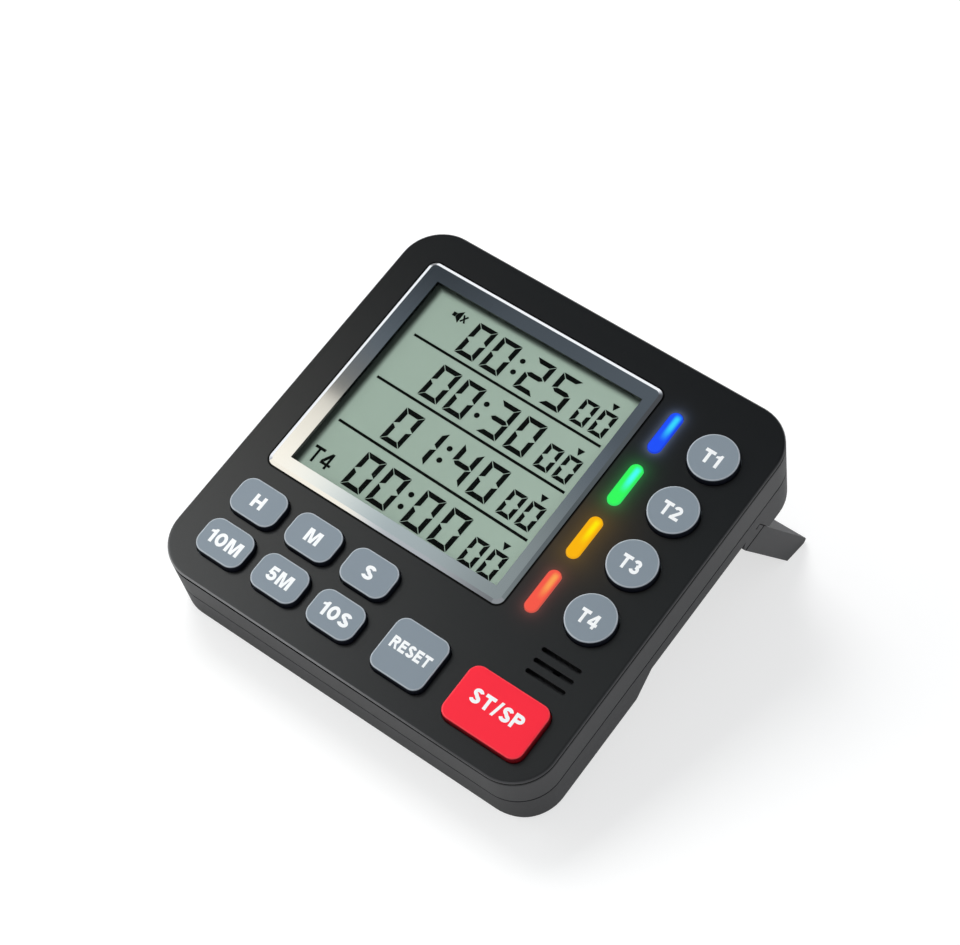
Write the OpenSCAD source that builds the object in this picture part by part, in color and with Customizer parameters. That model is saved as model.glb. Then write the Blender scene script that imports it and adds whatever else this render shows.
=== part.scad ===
// Four-channel kitchen timer, leaning back on its fold-out stand.
// Each piece is drawn with the face in the XY plane and depth running along -Z.
// on_desk() then leans it back, so that the desk is at Z = 0.

/* [Case] */
// Radius of the face's corners
corner_r = 10; // [8:0.5:12]
// Thickness of the face plate
face_t = 2; // [1.6:0.1:2.6]
// Thickness of the shells' walls
wall = 2; // [1.5:0.1:2.4]
// Rounding of the face's outer edge
face_edge = 0.6; // [0.4:0.1:1]
// Rounding of the back's outer edges
edge_r = 1; // [0.5:0.1:1.4]
// Rounding of the outer edges of the block above the stand
block_edge = 2; // [1:0.1:2.4]
// How much deeper that block is than the hump
block_more = 3; // [0:0.25:4]
// Depth of the parting line behind the face
parting_d = 10.5; // [9.5:0.25:12]
// Width of the shadow gap at the parting line
seam_h = 0.5; // [0.2:0.05:0.6]
// Depth of the fine groove below the edge of the face
groove_d = 0.7; // [0.65:0.05:1.4]
// Width of that groove, and how far it cuts into the wall
groove_w = 0.5; // [0.2:0.05:0.6]
// Height of the lip that lines up the shells
lip_h = 1.5; // [1:0.1:2]
// Thickness of the lip
lip_t = 1; // [0.8:0.1:1.4]
// Clearance between the lip and the front shell
lip_gap = 0.15; // [0.1:0.05:0.3]

/* [Display] */
// Width of the bezel
bezel_w = 63; // [58:0.5:72]
// Height of the bezel
bezel_h = 60.5; // [56:0.5:68]
// Radius of the bezel's corners
bezel_r = 2; // [1.2:0.1:3]
// How far the bezel stands proud of the face
bezel_rise = 0.6; // [0.3:0.05:1]
// Width of the bevel on the bezel's outer edge
bezel_bevel = 0.8; // [0.3:0.1:1]
// Drop of that bevel for each millimetre of its width
bezel_slope = 0.6; // [0.4:0.05:1]
// Left border of the bezel
border_left = 4.35; // [3:0.05:6]
// Right border of the bezel
border_right = 3.2; // [2.8:0.05:5]
// Upper border of the bezel
border_top = 4.25; // [3:0.05:6]
// Lower border of the bezel
border_bottom = 3.55; // [3.2:0.05:5]
// Gap between the bezel and the face plate
bezel_gap = 0.15; // [0.1:0.05:0.3]
// How far the bezel's flange reaches behind the face plate
bezel_lap = 0.8; // [0.6:0.1:0.9]
// Thickness of the bezel's flange
flange_t = 0.9; // [0.6:0.1:1.4]
// Thickness of the bezel's lip in front of the window
window_lip = 1.1; // [0.8:0.05:1.6]
// Thickness of the clear window
window_t = 0.7; // [0.5:0.1:1.2]
// How far the window and the glass reach behind the borders
glass_lap = 1.5; // [1.2:0.1:2]
// Thickness of the liquid crystal glass
lcd_t = 1.8; // [1.4:0.1:2.4]
// Space in front of the glass
lcd_front_gap = 0.05; // [0.05:0.05:0.2]
// Height of the glass's holder on the circuit board
holder_t = 2.8; // [2.2:0.1:4]
// Thickness of a connecting pin
pin_t = 0.5; // [0.3:0.05:0.6]
// Pitch of the connecting pins
pin_pitch = 2.54; // [1.8:0.02:3]
// Clearance round the glass and its pins in the holder
holder_gap = 0.2; // [0.1:0.05:0.3]

/* [Keys] */
// Width of a small key
key_w = 12.25; // [11:0.25:14]
// Height of a small key
key_h = 8.95; // [8:0.05:11]
// Corner radius of a small key
key_r = 3; // [2:0.1:3.6]
// Gap between columns of small keys
key_gap_x = 2.85; // [2.4:0.05:4]
// Gap between rows of small keys
key_gap_y = 2.5; // [2.2:0.05:4]
// How far the keys stand proud of the face
key_rise = 1.8; // [1:0.1:2.4]
// Rounding of the keys' upper edges
key_edge = 0.45; // [0.2:0.05:0.8]
// Clearance between a key and its hole
key_gap = 0.25; // [0.15:0.05:0.4]
// How far a key's flange reaches behind the face plate
key_lap = 0.8; // [0.6:0.05:0.95]
// Thickness of a key's flange
key_flange_t = 0.8; // [0.5:0.05:1]
// Play between a key's flange and the face plate
key_play = 0.2; // [0.1:0.05:0.3]
// Travel of a key
key_travel = 0.6; // [0.3:0.05:0.7]
// Space left above the switch below a pressed key
key_spare = 0.2; // [0.1:0.05:0.3]
// Width of the reset key
reset_w = 13.5; // [12:0.25:16]
// Height of the reset key
reset_h = 13.1; // [11:0.1:15]
// Width of the start and stop key
start_w = 20.1; // [18:0.1:24]
// Height of the start and stop key
start_h = 13.5; // [11:0.1:15]
// Corner radius of the two large keys
large_r = 2.6; // [1.6:0.1:4]
// Diameter of a round key
round_d = 11.3; // [10:0.1:12.5]
// Gap between round keys
round_gap = 3.47; // [2.4:0.01:5]
// Least difference between the bezel's height and the span of the round keys' middles
round_inset = 16.2; // [14:0.1:20]

/* [Lights and sound] */
// Width of a light bar
light_w = 3.2; // [2.4:0.1:4]
// Length of a light bar
light_l = 11; // [8:0.1:12]
// How far a light bar stands proud of the face
light_rise = 0.35; // [0.1:0.05:0.6]
// Gap between a light bar and its slot
light_gap = 0.1; // [0.05:0.05:0.2]
// How far a light bar's flange reaches behind the face plate
light_lap = 0.8; // [0.5:0.1:1]
// Height of a lamp on the circuit board
lamp_h = 0.9; // [0.6:0.05:1.2]
// Length of a sound slot
slot_l = 9.9; // [7:0.1:11]
// Width of a sound slot
slot_w = 1.05; // [0.6:0.05:1.2]
// Gap between sound slots
slot_gap = 1.75; // [1.4:0.05:2.4]
// Number of sound slots
slot_count = 3; // [2:1:4]
// Diameter of the buzzer
buzzer_d = 11.5; // [9:0.1:12]
// Space between the buzzer and the face plate
buzzer_gap = 0.6; // [0.3:0.1:1]

/* [Layout of the face] */
// Left edge to the bezel
margin_left = 7.45; // [6:0.05:10]
// Top edge to the bezel
margin_top = 8.4; // [8:0.05:11]
// Bezel to the light bars
gap_bezel_light = 3.8; // [3:0.1:6]
// Light bars to the round keys
gap_light_round = 5.1; // [3:0.1:7]
// Round keys to the right edge
margin_right = 6.15; // [5:0.05:9]
// Top edge to the first round key
round_top = 10.9; // [9:0.1:14]
// Last round key to the sound slots
gap_round_slot = 4.3; // [4:0.1:7]
// Sound slots to the start and stop key
gap_slot_start = 4.15; // [4:0.05:7]
// Bezel to the small keys
gap_bezel_key = 4.7; // [4:0.1:8]
// Left edge to the small keys
key_left = 7.33; // [6:0.01:10]
// Small keys to the bottom edge
key_bottom = 6; // [5:0.1:9]
// Small keys to the reset key
gap_key_reset = 5.46; // [3:0.01:8]
// Reset key to the start and stop key
gap_reset_start = 5.46; // [3:0.01:8]
// Reset key to the bottom edge
reset_bottom = 5.5; // [5:0.1:8]
// Start and stop key to the right edge
start_right = 5.7; // [5:0.1:8]
// Start and stop key to the bottom edge
start_bottom = 4.9; // [4.5:0.1:7]

/* [Circuit board and battery] */
// Thickness of the circuit board
board_t = 1.2; // [0.8:0.1:1.6]
// Clearance between the circuit board and the front shell
board_gap = 0.4; // [0.2:0.1:0.8]
// Diameter of a battery cell
cell_d = 10.5; // [9.5:0.1:14.5]
// Length of a battery cell with its nub
cell_l = 44.5; // [40:0.5:50.5]
// Height of a cell's nub
nub_h = 0.8; // [0.6:0.1:1.5]
// Diameter of a cell's nub
nub_d = 3.8; // [3:0.1:5.5]
// Clearance round a cell
cell_gap = 0.2; // [0.1:0.05:0.4]
// Thickness of a contact's sheet metal
contact_t = 0.4; // [0.3:0.05:0.5]
// Length of a contact's spring when a cell is in
spring_l = 4; // [3:0.1:6]
// Thickness of the bay's roof and walls
bay_wall = 0.8; // [0.6:0.1:1.2]
// Space between the bay's roof and the circuit board
bay_gap = 0.4; // [0.2:0.1:1]
// Thickness of the battery door
door_t = 1.6; // [1.2:0.1:2.2]
// How far the door laps over the bay's rim
door_lap = 1.8; // [1.4:0.1:2.4]
// Gap round the door
door_gap = 0.25; // [0.2:0.05:0.4]
// Bottom edge of the case to the door
door_bottom = 7.5; // [7.5:0.05:9]
// How far the bay's middle is left of the case's middle
bay_left = 4; // [2:0.1:6]
// Angle to which the door swings open
door_swing = 75; // [45:1:90]

/* [Stand] */
// Angle at which the timer leans back on its stand
recline = 19.2; // [14:0.2:20]
// Angle between the open stand and the back of the case
leg_angle = 64; // [60:1:80]
// Thickness of the stand
leg_t = 5.2; // [4:0.1:6]
// How far the folded stand stands proud of the hump
leg_out = 1.2; // [0:0.1:1.4]
// Clearance round the stand
leg_gap = 0.3; // [0.2:0.05:0.5]
// Hinge to the top edge of the case
hinge_top = 20.5; // [17:0.5:23]
// Width of a hinge knuckle
knuckle_w = 9; // [6:0.5:12]
// Knuckle to the side of the case
knuckle_side = 13; // [9:0.5:20]
// Diameter of a hinge pin
hinge_d = 2; // [1.6:0.1:2.4]
// Radial clearance of a hinge pin
hinge_gap = 0.05; // [0.03:0.01:0.1]
// Rounding of the stand's toe
toe_r = 1; // [0.5:0.1:1.6]
// Room between the folded stand's toe and the hump
tip_room = 1.2; // [0.2:0.1:2]
// How much further the hump's slope runs than the toe's
slope_more = 1.6; // [0:0.1:2]
// Thickness of the stand's skin and ribs
leg_skin = 1.6; // [1.2:0.1:2]
// Width of the flat on which the hump rests, across its edge
land_rise = 1.5; // [1:0.1:2]

/* [Fasteners and volume switch] */
// Diameter of a screw
screw_d = 2; // [1.6:0.1:2.3]
// Diameter of a screw's head
head_d = 3.8; // [3.2:0.1:4]
// Height of a screw's head
head_h = 1.3; // [1:0.1:1.6]
// Outer diameter of a boss in the front shell
boss_d = 4; // [3.4:0.1:4.2]
// Outer diameter of a post in the back cover
post_d = 6.2; // [5.8:0.1:6.4]
// Thickness of a post's floor below a screw's head
post_floor = 1.2; // [0.8:0.1:1.6]
// Clearance round a screw
screw_gap = 0.2; // [0.1:0.05:0.3]
// Screws along the top to the top edge
screw_top = 5.4; // [5.3:0.05:5.8]
// Travel of the volume knob between its end positions
knob_travel = 4; // [2:0.5:5]
// Width of the volume knob
knob_w = 4; // [3:0.1:5]
// Length of the volume knob
knob_l = 3; // [2:0.1:4]
// Depth of the pocket round the volume knob
knob_pocket = 1.2; // [0.8:0.1:1.6]

/* [Hidden] */
$fn = 64;

case_black = [0.10, 0.10, 0.11];
side_grey = [0.22, 0.22, 0.23];
key_grey = [0.57, 0.60, 0.64];
key_red = [0.99, 0.20, 0.25];
bezel_grey = [0.50, 0.52, 0.55];
lcd_green = [0.62, 0.70, 0.64];
board_green = [0.10, 0.32, 0.20];
metal = [0.75, 0.75, 0.73];
dark_part = [0.16, 0.16, 0.17];

// A small overlap that makes cuts run past a surface
past = 1;
// Lengths below this aren't drawn
hair = 0.001;
// Height of a battery contact's plate
contact_h = 8;
// Body of a switch below a key, and the height and diameter of its plunger
switch_w = 5.2;
plunger_h = 0.4;
plunger_d = 3.2;
// Length and width of a lamp's body
lamp_l = 3.5;
lamp_w = 2.8;
// Hole in the buzzer's cap
sound_hole_d = 2;
// Space between a lamp and its light bar
lamp_gap = 0.2;

// The face is as wide and as high as its rows and columns need
small_row_w = 3 * key_w + 2 * key_gap_x;
display_row = margin_left + bezel_w + gap_bezel_light + light_w + gap_light_round + round_d + margin_right;
key_row = key_left + small_row_w + gap_key_reset + reset_w + gap_reset_start + start_w + start_right;
face_w = max(display_row, key_row);
slots_h = slot_count * slot_w + (slot_count - 1) * slot_gap;
round_pitch = max(round_d + round_gap, (bezel_h - round_inset) / 3);
left_column = margin_top + bezel_h + gap_bezel_key + 2 * key_h + key_gap_y + key_bottom;
right_column = round_top + 3 * round_pitch + round_d + gap_round_slot + slots_h + gap_slot_start
  + start_h + start_bottom;
face_h = max(left_column, right_column);
half_w = face_w / 2;
half_h = face_h / 2;

// Depths behind the face, from the display inwards
window_d = window_lip - bezel_rise;
lcd_d = window_d + window_t + lcd_front_gap;
flange_d = face_t + flange_t;
board_d = flange_d + holder_t;
board_back = board_d + board_t;
roof_d = board_back + bay_gap;
bay_d = roof_d + bay_wall;
cell_mid = bay_d + cell_gap / 2 + cell_d / 2;
door_d = cell_mid + cell_d / 2 + cell_gap;
case_d = door_d + door_t;
waist_d = case_d - leg_t - leg_gap;
block_d = case_d + block_more;

// Places on the face
bezel_x = -half_w + margin_left + bezel_w / 2;
bezel_y = half_h - margin_top - bezel_h / 2;
glass_x = bezel_x + (border_left - border_right) / 2;
glass_y = bezel_y + (border_bottom - border_top) / 2;
open_w = bezel_w - border_left - border_right;
open_h = bezel_h - border_top - border_bottom;
lcd_w = open_w + 2 * glass_lap;
lcd_h = open_h + 2 * glass_lap;
round_x = half_w - margin_right - round_d / 2;
light_x = round_x - round_d / 2 - gap_light_round - light_w / 2;
start_x = half_w - start_right - start_w / 2;
start_y = -half_h + start_bottom + start_h / 2;
reset_x = start_x - start_w / 2 - gap_reset_start - reset_w / 2;
reset_y = -half_h + reset_bottom + reset_h / 2;
function round_y(i) = half_h - round_top - round_d / 2 - i * round_pitch;
function small_x(column) = -half_w + key_left + key_w / 2 + column * (key_w + key_gap_x);
function small_y(row) = -half_h + key_bottom + key_h / 2 + (1 - row) * (key_h + key_gap_y);
round_keys = [for (i = [0:3]) [round_x, round_y(i)]];
slots_y = round_y(3) - round_d / 2 - gap_round_slot - slots_h / 2;
small_keys = [for (row = [0:1], column = [0:2]) [small_x(column), small_y(row)]];
light_places = [for (i = [0:3]) [light_x, round_y(i)]];

// Keys and switches
key_foot = face_t + key_play + key_flange_t;
switch_d = key_foot + key_travel + key_spare;
light_foot = board_d - lamp_h - lamp_gap;

// Screws: four hold the shells together through the board, two hold the board
screw_y = half_h - screw_top;
screw_mid_y = (small_y(0) + key_h / 2 + bezel_y - bezel_h / 2) / 2;
// Room between a boss and the curved inner wall at a corner
corner_room = 1;
corner_inset = corner_r * 0.4 + boss_d / 2 + corner_room;
// How far screws are shifted from the keys and lights in front of them
screw_shift = 1.4;
board_shift = 5;
case_screw_places = [
  [small_x(0) - screw_shift, screw_y],
  [half_w - corner_inset, half_h - corner_inset],
  [light_x + (light_w + boss_d - screw_shift) / 2, slots_y - screw_shift],
  [-half_w + screw_top, screw_mid_y]
];
board_screw_places = [[small_x(2) - board_shift, screw_y], [(light_x + round_x) / 2 - 1, screw_y]];
screw_seat = board_back + post_floor;
// Depth of a boss's blind hole, and the slack of its thread
boss_end = 0.6;
thread_slack = 0.02;
// The cross recess in a screw's head
cross_l = head_d * 0.6;
cross_w = 0.5;
screw_tip = face_t + boss_end;
pilot_d = screw_d + 2 * thread_slack;

// Battery bay and its door
bay_l = cell_l + contact_t + spring_l;
bay_w = 2 * cell_d + 3 * cell_gap;
door_l = bay_l + 2 * door_lap;
door_w = bay_w + 2 * door_lap;
door_y = -half_h + door_bottom + door_w / 2;
// The ledge below the door, and the play of the door on it
rim_t = 1.2;
rim_w = 1.2;
door_play = 0.15;
ledge_d = door_d - door_play;
// The tabs along the door's lower edge
tab_w = 6;
tab_l = 1.2;
tab_t = door_t / 2;
tab_gap = 0.2;
tab_x = door_l / 4;
// The finger scoop, and the pitch of the grip lines beside it
scoop_d = 4.6;
scoop_depth = 0.8;
grip_pitch = 1.6;
// Cells and their contacts: width of the bridge, size of a bent leaf, width of a solder tail
cell_y = (cell_d + cell_gap) / 2;
contact_y = bay_w - 2 * cell_gap;
leaf_w = 4;
leaf_h = 6;
tail_w = 2;

// The stand, with its own axes along and across the leg from the hinge
hinge_y = half_h - hinge_top;
hinge_z = case_d - leg_t / 2;
leg_slope = leg_angle - recline;
desk_z = half_h * sin(recline) + (case_d - land_rise) * cos(recline);
hinge_up = hinge_y * sin(recline) - hinge_z * cos(recline) + desk_z;
function foot_at(across) = (hinge_up + across * cos(leg_slope)) / sin(leg_slope);
leg_w = face_w - 2 * leg_gap;
toe_run = toe_r / tan(leg_slope / 2);
leg_back = leg_t / 2 + leg_out;
toe_u = foot_at(leg_back) - toe_run;
toe_n = leg_back - toe_r;
knuckle_x = half_w - knuckle_side - knuckle_w / 2;

// The timer's foremost and rearmost points set its place along Y
front_y = (face_edge - half_h) * cos(recline) + face_edge * sin(recline) - face_edge;
hinge_back = hinge_y * cos(recline) + hinge_z * sin(recline);
toe_y = hinge_back + toe_u * cos(leg_slope) + toe_n * sin(leg_slope) + toe_r;
desk_y = -(front_y + toe_y) / 2;

// The back's outline: the hump, the slope that meets the folded stand's tip, the waist and the upper block
tip_clear = leg_gap / sin(leg_slope);
function slope_y(depth) = hinge_y - foot_at(depth - hinge_z) - tip_clear;
stop_off = leg_back + leg_gap;
function stop_y(depth) = hinge_y + (stop_off + (depth - hinge_z) * cos(leg_angle)) / sin(leg_angle);
land_l = land_rise / tan(recline);
slope_top = slope_y(waist_d) - tip_room;
slope_foot = slope_y(case_d) - tip_room - slope_more;
slope_angle = atan((case_d - waist_d) / (slope_top - slope_foot));
// Depth of the case at a screw
function back_at(place) = place.y > hinge_y ? block_d : case_d;

// Volume switch
switch_side = 12;
switch_drop = 4;
switch_x = half_w - switch_side;
switch_y = door_y - switch_drop;
switch_l = 10;
switch_h = 3.5;
pad_t = 1.6;
pad_d = case_d - knob_pocket - pad_t;
stem_w = 2;
knob_gap = 0.3;
knob_r = 0.5;
pocket_rim = 1;

// Placement on the desk
module on_desk() translate([0, desk_y, desk_z]) rotate([recline, 0, 0]) children();

// Placement in the open stand's own axes
module on_leg() translate([0, hinge_y, -hinge_z]) rotate([-leg_angle, 0, 0]) children();

// Rounded rectangle
module plan(w, h, r) {
  if (w > 2 * r + hair) square([w - 2 * r, h], center = true);
  if (h > 2 * r + hair) square([w, h - 2 * r], center = true);
  for (sx = [-1, 1], sy = [-1, 1])
    translate([sx * (w / 2 - r), sy * (h / 2 - r)]) circle(r);
}

// Rounded plate between two depths
module plate(w, h, r, top, bottom) translate([0, 0, -bottom]) linear_extrude(bottom - top) plan(w, h, r);

// Half of a plate's section whose upper edge is rounded, or bevelled with the drop given by slope
module edge_section(half, t, edge, slope) {
  if (slope > 0) {
    polygon([[0, 0], [half, 0], [half, t - edge * slope], [half - edge, t], [0, t]]);
  } else {
    square([half - edge, t]);
    square([half, t - edge]);
    translate([half - edge, t - edge]) circle(edge);
  }
}

module whole_section(half, t, edge, slope) {
  edge_section(half, t, edge, slope);
  mirror([1, 0]) edge_section(half, t, edge, slope);
}

// Rounded plate between two depths whose front edge is rounded or bevelled
module soft_plate(w, h, r, top, bottom, edge, slope = 0) {
  t = bottom - top;
  translate([0, 0, -bottom]) {
    for (sx = [-1, 1], sy = [-1, 1])
      translate([sx * (w / 2 - r), sy * (h / 2 - r), 0])
        rotate_extrude() edge_section(r, t, edge, slope);
    if (w > 2 * r + hair)
      rotate([90, 0, 90]) linear_extrude(w - 2 * r, center = true) whole_section(h / 2, t, edge, slope);
    if (h > 2 * r + hair)
      rotate([90, 0, 0]) linear_extrude(h - 2 * r, center = true) whole_section(w / 2, t, edge, slope);
  }
}

// Box between two depths
module block(w, h, top, bottom)
  translate([-w / 2, -h / 2, -bottom]) cube([w, h, bottom - top]);

// Round post between two depths
module post(d, top, bottom) translate([0, 0, -bottom]) cylinder(d = d, h = bottom - top);

// Outline in the YZ plane, extruded across the case
module across(w) rotate([90, 0, 90]) linear_extrude(w, center = true) children();

module at_each(places) for (p = places) translate([p.x, p.y, 0]) children();

// Shells

module face_groove() difference() {
  plate(face_w + past, face_h + past, corner_r, groove_d, groove_d + groove_w);
  plate(face_w - 2 * groove_w, face_h - 2 * groove_w, corner_r - groove_w, groove_d - past, groove_d + past);
}

module key_holes(gap) {
  at_each(round_keys) post(round_d + 2 * gap, -past, face_t + past);
  at_each(small_keys) plate(key_w + 2 * gap, key_h + 2 * gap, key_r + gap, -past, face_t + past);
  translate([reset_x, reset_y, 0])
    plate(reset_w + 2 * gap, reset_h + 2 * gap, large_r + gap, -past, face_t + past);
  translate([start_x, start_y, 0])
    plate(start_w + 2 * gap, start_h + 2 * gap, large_r + gap, -past, face_t + past);
}

module sound_slots() for (i = [0:slot_count - 1])
  translate([round_x, slots_y + slots_h / 2 - slot_w / 2 - i * (slot_w + slot_gap), 0])
    plate(slot_l, slot_w, slot_w / 2, -past, face_t + past);

module front_case() color(case_black) on_desk() difference() {
  union() {
    difference() {
      soft_plate(face_w, face_h, corner_r, 0, parting_d - seam_h / 2, face_edge);
      plate(face_w - 2 * wall, face_h - 2 * wall, corner_r - wall, face_t, parting_d + past);
      face_groove();
    }
    at_each(case_screw_places) post(boss_d, face_t - past / 2, board_d);
    at_each(board_screw_places) post(boss_d, face_t - past / 2, board_d);
  }
  at_each(case_screw_places) post(pilot_d, screw_tip, board_d + past);
  at_each(board_screw_places) post(pilot_d, screw_tip, board_d + past);
  translate([bezel_x, bezel_y, 0])
    plate(bezel_w + 2 * bezel_gap, bezel_h + 2 * bezel_gap, bezel_r + bezel_gap, -past, face_t + past);
  at_each(light_places)
    plate(light_w + 2 * light_gap, light_l + 2 * light_gap, light_w / 2 + light_gap, -past, face_t + past);
  key_holes(key_gap);
  sound_slots();
}

// Section of the back, drawn inwards by the wall for the hollow
module back_outline(in) {
  top = in > 0 ? parting_d - past : parting_d + seam_h / 2;
  slope_in = in * tan(slope_angle / 2);
  stop_in = in * tan(leg_angle / 2);
  polygon([
    [in - half_h, -top],
    [in - half_h, in + land_rise - case_d],
    [in - half_h + land_l, in - case_d],
    [slope_foot - slope_in, in - case_d],
    [slope_top - slope_in, in - waist_d],
    [stop_y(waist_d) + stop_in, in - waist_d],
    [stop_y(block_d) + stop_in, in - block_d],
    [half_h - in, in - block_d],
    [half_h - in, -top]
  ]);
}

module back_plate(depth, edge) translate([0, 0, -depth])
  mirror([0, 0, 1]) soft_plate(face_w, face_h, corner_r, 0, depth - parting_d, edge);

module back_shell() difference() {
  intersection() {
    across(face_w) back_outline(0);
    union() {
      back_plate(case_d, edge_r);
      intersection() {
        back_plate(block_d, block_edge);
        translate([0, hinge_y + half_h, 0]) block(face_w, face_h, parting_d, block_d);
      }
    }
  }
  intersection() {
    across(face_w) back_outline(wall);
    plate(face_w - 2 * wall, face_h - 2 * wall, corner_r - wall, parting_d - past, block_d);
  }
}

module shell_lip() {
  in = wall + lip_gap;
  low = parting_d + seam_h / 2 + lip_h;
  difference() {
    union() {
      plate(face_w - 2 * in, face_h - 2 * in, corner_r - in, parting_d - lip_h, low);
      plate(face_w - wall, face_h - wall, corner_r - wall / 2, parting_d + seam_h / 2, low);
    }
    plate(face_w - 2 * (in + lip_t), face_h - 2 * (in + lip_t), corner_r - in - lip_t,
      parting_d - lip_h - past, low + past);
  }
}

module knuckles() for (side = [-1, 1]) translate([side * knuckle_x, hinge_y, 0]) {
  translate([0, 0, -hinge_z]) rotate([0, 90, 0]) cylinder(d = leg_t, h = knuckle_w, center = true);
  block(knuckle_w, leg_t, waist_d - wall / 2, hinge_z);
}

module door_openings() {
  block(bay_l, bay_w, bay_d, case_d + past);
  plate(door_l + 2 * door_gap, door_w + 2 * door_gap, rim_w + door_gap, ledge_d, case_d + past);
  for (side = [-1, 1]) translate([side * tab_x, -door_w / 2, 0])
    block(tab_w + 2 * tab_gap, 4 * tab_l, ledge_d - rim_t - past, door_d + tab_t + tab_gap);
  for (side = [-1, 1]) translate([bay_l / 2 - contact_t / 2, side * cell_y, 0])
    block(contact_t + tab_gap, tail_w + tab_gap, roof_d - past, bay_d + past);
  finger_scoop();
}

module finger_scoop() translate([0, door_w / 2, 0]) post(scoop_d, case_d - scoop_depth, case_d + past);

module knob_openings() {
  plate(knob_w + 2 * pocket_rim, knob_l + knob_travel + 2 * pocket_rim, pocket_rim,
    case_d - knob_pocket, case_d + past);
  stem_slot(pad_d - past, case_d);
}

module stem_slot(top, bottom)
  block(stem_w + 2 * knob_gap, stem_w + knob_travel + 2 * knob_gap, top, bottom);

module back_cover() color(side_grey) on_desk() difference() {
  union() {
    back_shell();
    shell_lip();
    for (p = case_screw_places) translate([p.x, p.y, 0]) post(post_d, board_back, back_at(p) - wall / 2);
    translate([-bay_left, door_y, 0]) {
      block(bay_l + 2 * bay_wall, bay_w + 2 * bay_wall, roof_d, ledge_d);
      block(door_l + 2 * rim_w, door_w + 2 * rim_w, ledge_d - rim_t, case_d);
    }
    translate([switch_x, switch_y, 0]) block(switch_l, switch_l + knob_travel, pad_d, case_d);
    knuckles();
  }
  at_each(case_screw_places) {
    post(screw_d + 2 * screw_gap, board_back - past, screw_seat + past);
    post(head_d + 2 * screw_gap, screw_seat, block_d + past);
  }
  translate([-bay_left, door_y, 0]) door_openings();
  translate([switch_x, switch_y, 0]) knob_openings();
  for (side = [-1, 1]) translate([side * knuckle_x, hinge_y, -hinge_z])
    rotate([0, 90, 0]) cylinder(d = hinge_d + 2 * hinge_gap, h = knuckle_w + past, center = true);
}

// Display

module glass_opening(top, bottom) translate([glass_x, glass_y, 0]) block(open_w, open_h, top, bottom);

// Room for the window, the glass and its pins
module glass_room(top, bottom) translate([glass_x, glass_y, 0])
  block(lcd_w + 2 * holder_gap, lcd_h + 2 * (holder_gap + pin_t), top, bottom);

module display_bezel() color(bezel_grey) on_desk() difference() {
  translate([bezel_x, bezel_y, 0]) {
    soft_plate(bezel_w, bezel_h, bezel_r, -bezel_rise, flange_d, bezel_bevel, bezel_slope);
    plate(bezel_w + 2 * bezel_lap, bezel_h + 2 * bezel_lap, bezel_r + bezel_lap, face_t, flange_d);
  }
  glass_opening(-bezel_rise - past, flange_d);
  glass_room(window_d, flange_d + past);
}

module display_window() color([0.9, 0.95, 0.95, 0.4]) on_desk()
  translate([glass_x, glass_y, 0]) block(lcd_w, lcd_h, window_d, window_d + window_t);

module lcd_panel() color(lcd_green) on_desk()
  translate([glass_x, glass_y, 0]) block(lcd_w, lcd_h, lcd_d, lcd_d + lcd_t);

module lcd_holder() color(dark_part) on_desk() difference() {
  translate([bezel_x, bezel_y, 0])
    plate(bezel_w + 2 * bezel_lap, bezel_h + 2 * bezel_lap, bezel_r + bezel_lap, flange_d, board_d);
  glass_room(flange_d - past, board_d + past);
}

module lcd_pins() color(metal) on_desk() {
  count = floor(lcd_w / pin_pitch) - 2;
  for (side = [-1, 1], i = [0:count - 1])
    translate([glass_x + (i - (count - 1) / 2) * pin_pitch, glass_y + side * (lcd_h + pin_t) / 2, 0])
      block(pin_t, pin_t, lcd_d + lcd_t / 3, board_d);
}

// Lights

module light_bar(i) on_desk() translate([light_x, round_y(i), 0]) {
  soft_plate(light_w, light_l, light_w / 2, -light_rise, light_foot, light_rise);
  plate(light_w + 2 * light_lap, light_l + 2 * light_lap, light_w / 2 + light_lap,
    face_t, face_t + light_lap);
}

module light_bar_blue() color([0.12, 0.35, 1]) light_bar(0);
module light_bar_green() color([0.18, 1, 0.31]) light_bar(1);
module light_bar_amber() color([1, 0.70, 0.04]) light_bar(2);
module light_bar_red() color([0.97, 0.36, 0.29]) light_bar(3);

module status_leds() color([0.95, 0.93, 0.85]) on_desk()
  at_each(light_places) block(lamp_w, lamp_l, board_d - lamp_h, board_d);

// Keys

module key_cap(place, w, h, r) on_desk() translate([place.x, place.y, 0]) {
  soft_plate(w, h, r, -key_rise, key_foot, key_edge);
  plate(w + 2 * key_lap, h + 2 * key_lap, r + key_lap, face_t + key_play, key_foot);
}

module small_key(row, column) color(key_grey) key_cap([small_x(column), small_y(row)], key_w, key_h, key_r);

module round_key(i) color(key_grey) on_desk() translate([round_x, round_y(i), 0]) {
  translate([0, 0, -key_foot])
    rotate_extrude() edge_section(round_d / 2, key_foot + key_rise, key_edge, 0);
  post(round_d + 2 * key_lap, face_t + key_play, key_foot);
}

module key_t1() round_key(0);
module key_t2() round_key(1);
module key_t3() round_key(2);
module key_t4() round_key(3);
module key_hours() small_key(0, 0);
module key_minutes() small_key(0, 1);
module key_seconds() small_key(0, 2);
module key_ten_minutes() small_key(1, 0);
module key_five_minutes() small_key(1, 1);
module key_ten_seconds() small_key(1, 2);
module key_reset() color(key_grey) key_cap([reset_x, reset_y], reset_w, reset_h, large_r);
module key_start_stop() color(key_red) key_cap([start_x, start_y], start_w, start_h, large_r);

// Circuit board and what it carries

module circuit_board() color(board_green) on_desk() difference() {
  in = wall + board_gap;
  plate(face_w - 2 * in, face_h - 2 * in, corner_r - in, board_d, board_back);
  at_each(case_screw_places) post(screw_d + 2 * screw_gap, board_d - past, board_back + past);
  at_each(board_screw_places) post(screw_d + 2 * screw_gap, board_d - past, board_back + past);
}

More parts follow.
